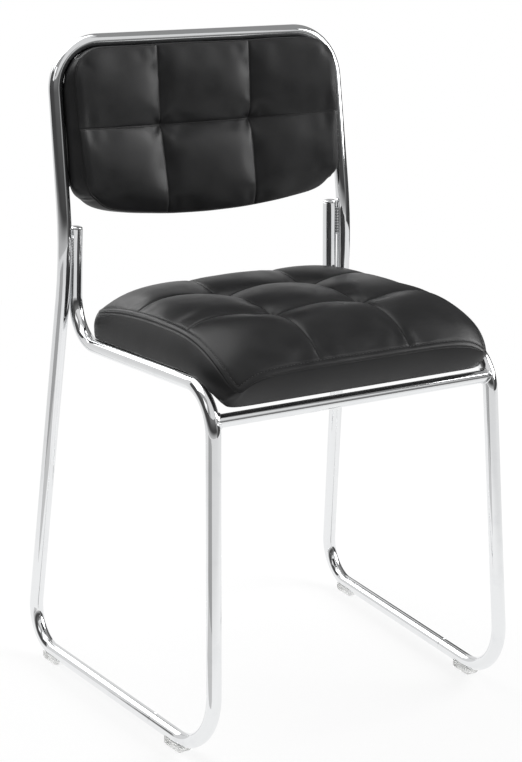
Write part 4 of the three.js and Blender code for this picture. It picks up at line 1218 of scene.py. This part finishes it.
# Studio
studio = {
    "middle": (0, 0, 0.45), "floorHalf": 12, "floorTone": written(250, 250, 250),
    "fill": 0.45, "room": 0.76, "near": 1.0, "far": 0.80,
    # place, size and power of each lamp
    "lamps": {
        "key": ((2.3, -1.0, 1.5), (1.6, 1.6), 50), "overhead": ((-0.7, 0.9, 2.5), (2.2, 2.2), 26),
        "back": ((-0.6, 2.9, 2.4), (2.3, 1.9), 32), "side": ((-2.4, -0.6, 2.2), (1.0, 1.0), 3),
    },
    # first and last degree from the front, low and high edge, and the tone at each edge
    "darkReach": 3.0, "darkSteps": 24,
    "darkCards": [
        (-135, 20, 0.10, 0.65, 0.50, 0.06), (-135, -60, 0.65, 2.6, 0.06, 0.10),
        (-60, 20, 0.65, 2.0, 0.06, 0.20), (20, 40, 0.0, 1.3, 0.10, 0.35),
        (40, 140, 0.0, 2.6, 0.05, 0.20), (140, 168, 1.9, 4.5, 0.25, 0.30),
    ],
    # first and last degree from the front, near and far edge, height and tone
    "shadeSteps": 16,
    "shadeCards": [
        (-100, -52, 0.45, 0.9, 0.002, 0.62), (-100, -52, 0.9, 3.0, 0.002, 0.40),
        (95, 145, 2.6, 3.0, 0.002, 0.08), (40, 150, 0.9, 4.5, 3.2, 0.30), (-150, -40, 1.3, 4.5, 3.0, 0.35),
    ],
}


def makeWorld():
    # white behind the chair, a paler grey in reflections, and a dim fill from all round
    world = bpy.data.worlds.new("studio")
    scene.world = world
    shading = Shading(world)
    white, room, fill = (
        shading.node("ShaderNodeBackground", sockets={"Color": (1, 1, 1, 1), "Strength": strength})
        for strength in (1.0, studio["room"], studio["fill"])
    )
    mirrored = shading.node("ShaderNodeMixShader", sockets={0: shading.ray("Glossy"), 1: fill, 2: room})
    seen = shading.node("ShaderNodeMixShader", sockets={0: shading.seenDirectly(), 1: mirrored, 2: white})
    shading.node("ShaderNodeOutputWorld", sockets={"Surface": seen})


def makeFloor():
    # a pale floor that keeps the chair's shadow near it and fades into the white further out
    ground = finishNamed("pale floor")
    away = ground.node("ShaderNodeVectorMath", {"operation": "LENGTH"}, {0: ground.place()}, output="Value")
    lit = ground.node("ShaderNodeBsdfDiffuse", sockets={"Color": studio["floorTone"]})
    mirrored = ground.glow(ground.grey(ground.eased(away, 0.5, 1.5, studio["near"], studio["far"])))
    share = ground.seenDirectly() * ground.eased(away, 0.5, 2.2, 0.8, 1.0)
    seen = ground.node("ShaderNodeMixShader", sockets={0: share, 1: lit, 2: ground.glow((1, 1, 1, 1))})
    mix = ground.node("ShaderNodeMixShader", sockets={0: ground.ray("Glossy") * 0.9, 1: seen, 2: mirrored})
    ground.node("ShaderNodeOutputMaterial", sockets={"Surface": mix})
    half = studio["floorHalf"]
    corners = [(-half, -half, 0), (half, -half, 0), (half, half, 0), (-half, half, 0)]
    linked("floor", corners, [(0, 1, 2, 3)], ground.owner)


def softLamp(name, place, size, power):
    data = bpy.data.lights.new(name, "AREA")
    data.shape = "RECTANGLE"
    data.size, data.size_y = size
    data.energy = power
    lamp = bpy.data.objects.new(name, data)
    lamp.location = place
    lamp.rotation_mode = "QUATERNION"
    lamp.rotation_quaternion = (Vector(studio["middle"]) - Vector(place)).to_track_quat("-Z", "Y")
    scene.collection.objects.link(lamp)


def stageCard(name, first, last, edges, tones, steps):
    # a strip of card round the set between two (reach, height) edges, which only reflections see
    points = []
    for k in range(steps + 1):
        turn = math.radians(first + (last - first) * k / steps)
        points += [(reach * math.sin(turn), -reach * math.cos(turn), height) for reach, height in edges]
    look = finishNamed(name)
    height = look.node("ShaderNodeSeparateXYZ", sockets={0: look.place()}, output="Z")
    tone = look.eased(height, edges[0][1], edges[1][1] + 0.001, *tones)
    look.node("ShaderNodeOutputMaterial", sockets={"Surface": look.glow(look.grey(tone))})
    faces = [(2 * k, 2 * k + 2, 2 * k + 3, 2 * k + 1) for k in range(steps)]
    card = linked(name, points, faces, look.owner)
    card.visible_camera = card.visible_diffuse = card.visible_shadow = card.visible_transmission = False


makeWorld()
makeFloor()
for name, lamp in studio["lamps"].items():
    softLamp(name, *lamp)
reach = studio["darkReach"]
for number, (first, last, low, high, *tones) in enumerate(studio["darkCards"]):
    edges = (reach, low), (reach, high)
    stageCard(f"dark card {number + 1}", first, last, edges, tones, studio["darkSteps"])
for number, (first, last, near, far, height, tone) in enumerate(studio["shadeCards"]):
    edges = (near, height), (far, height)
    stageCard(f"shade card {number + 1}", first, last, edges, (tone, tone), studio["shadeSteps"])
print("studio made")


# Camera
view = {
    "place": (-1.1818, -1.9130, 1.0180), "aim": (-0.0056, 0.0149, 0.3898), "roll": 0.2,
    "lens": 86.88, "sensor": 36, "farthest": 100,
}
lens = bpy.data.cameras.new("camera")
lens.lens = view["lens"]
lens.sensor_width = view["sensor"]
lens.clip_end = view["farthest"]
camera = bpy.data.objects.new("camera", lens)
camera.location = view["place"]
camera.rotation_mode = "QUATERNION"
towards = (Vector(view["aim"]) - Vector(view["place"])).to_track_quat("-Z", "Y")
camera.rotation_quaternion = towards @ Quaternion((0, 0, 1), math.radians(view["roll"]))
scene.collection.objects.link(camera)
scene.camera = camera

scene.view_settings.view_transform = "Standard"
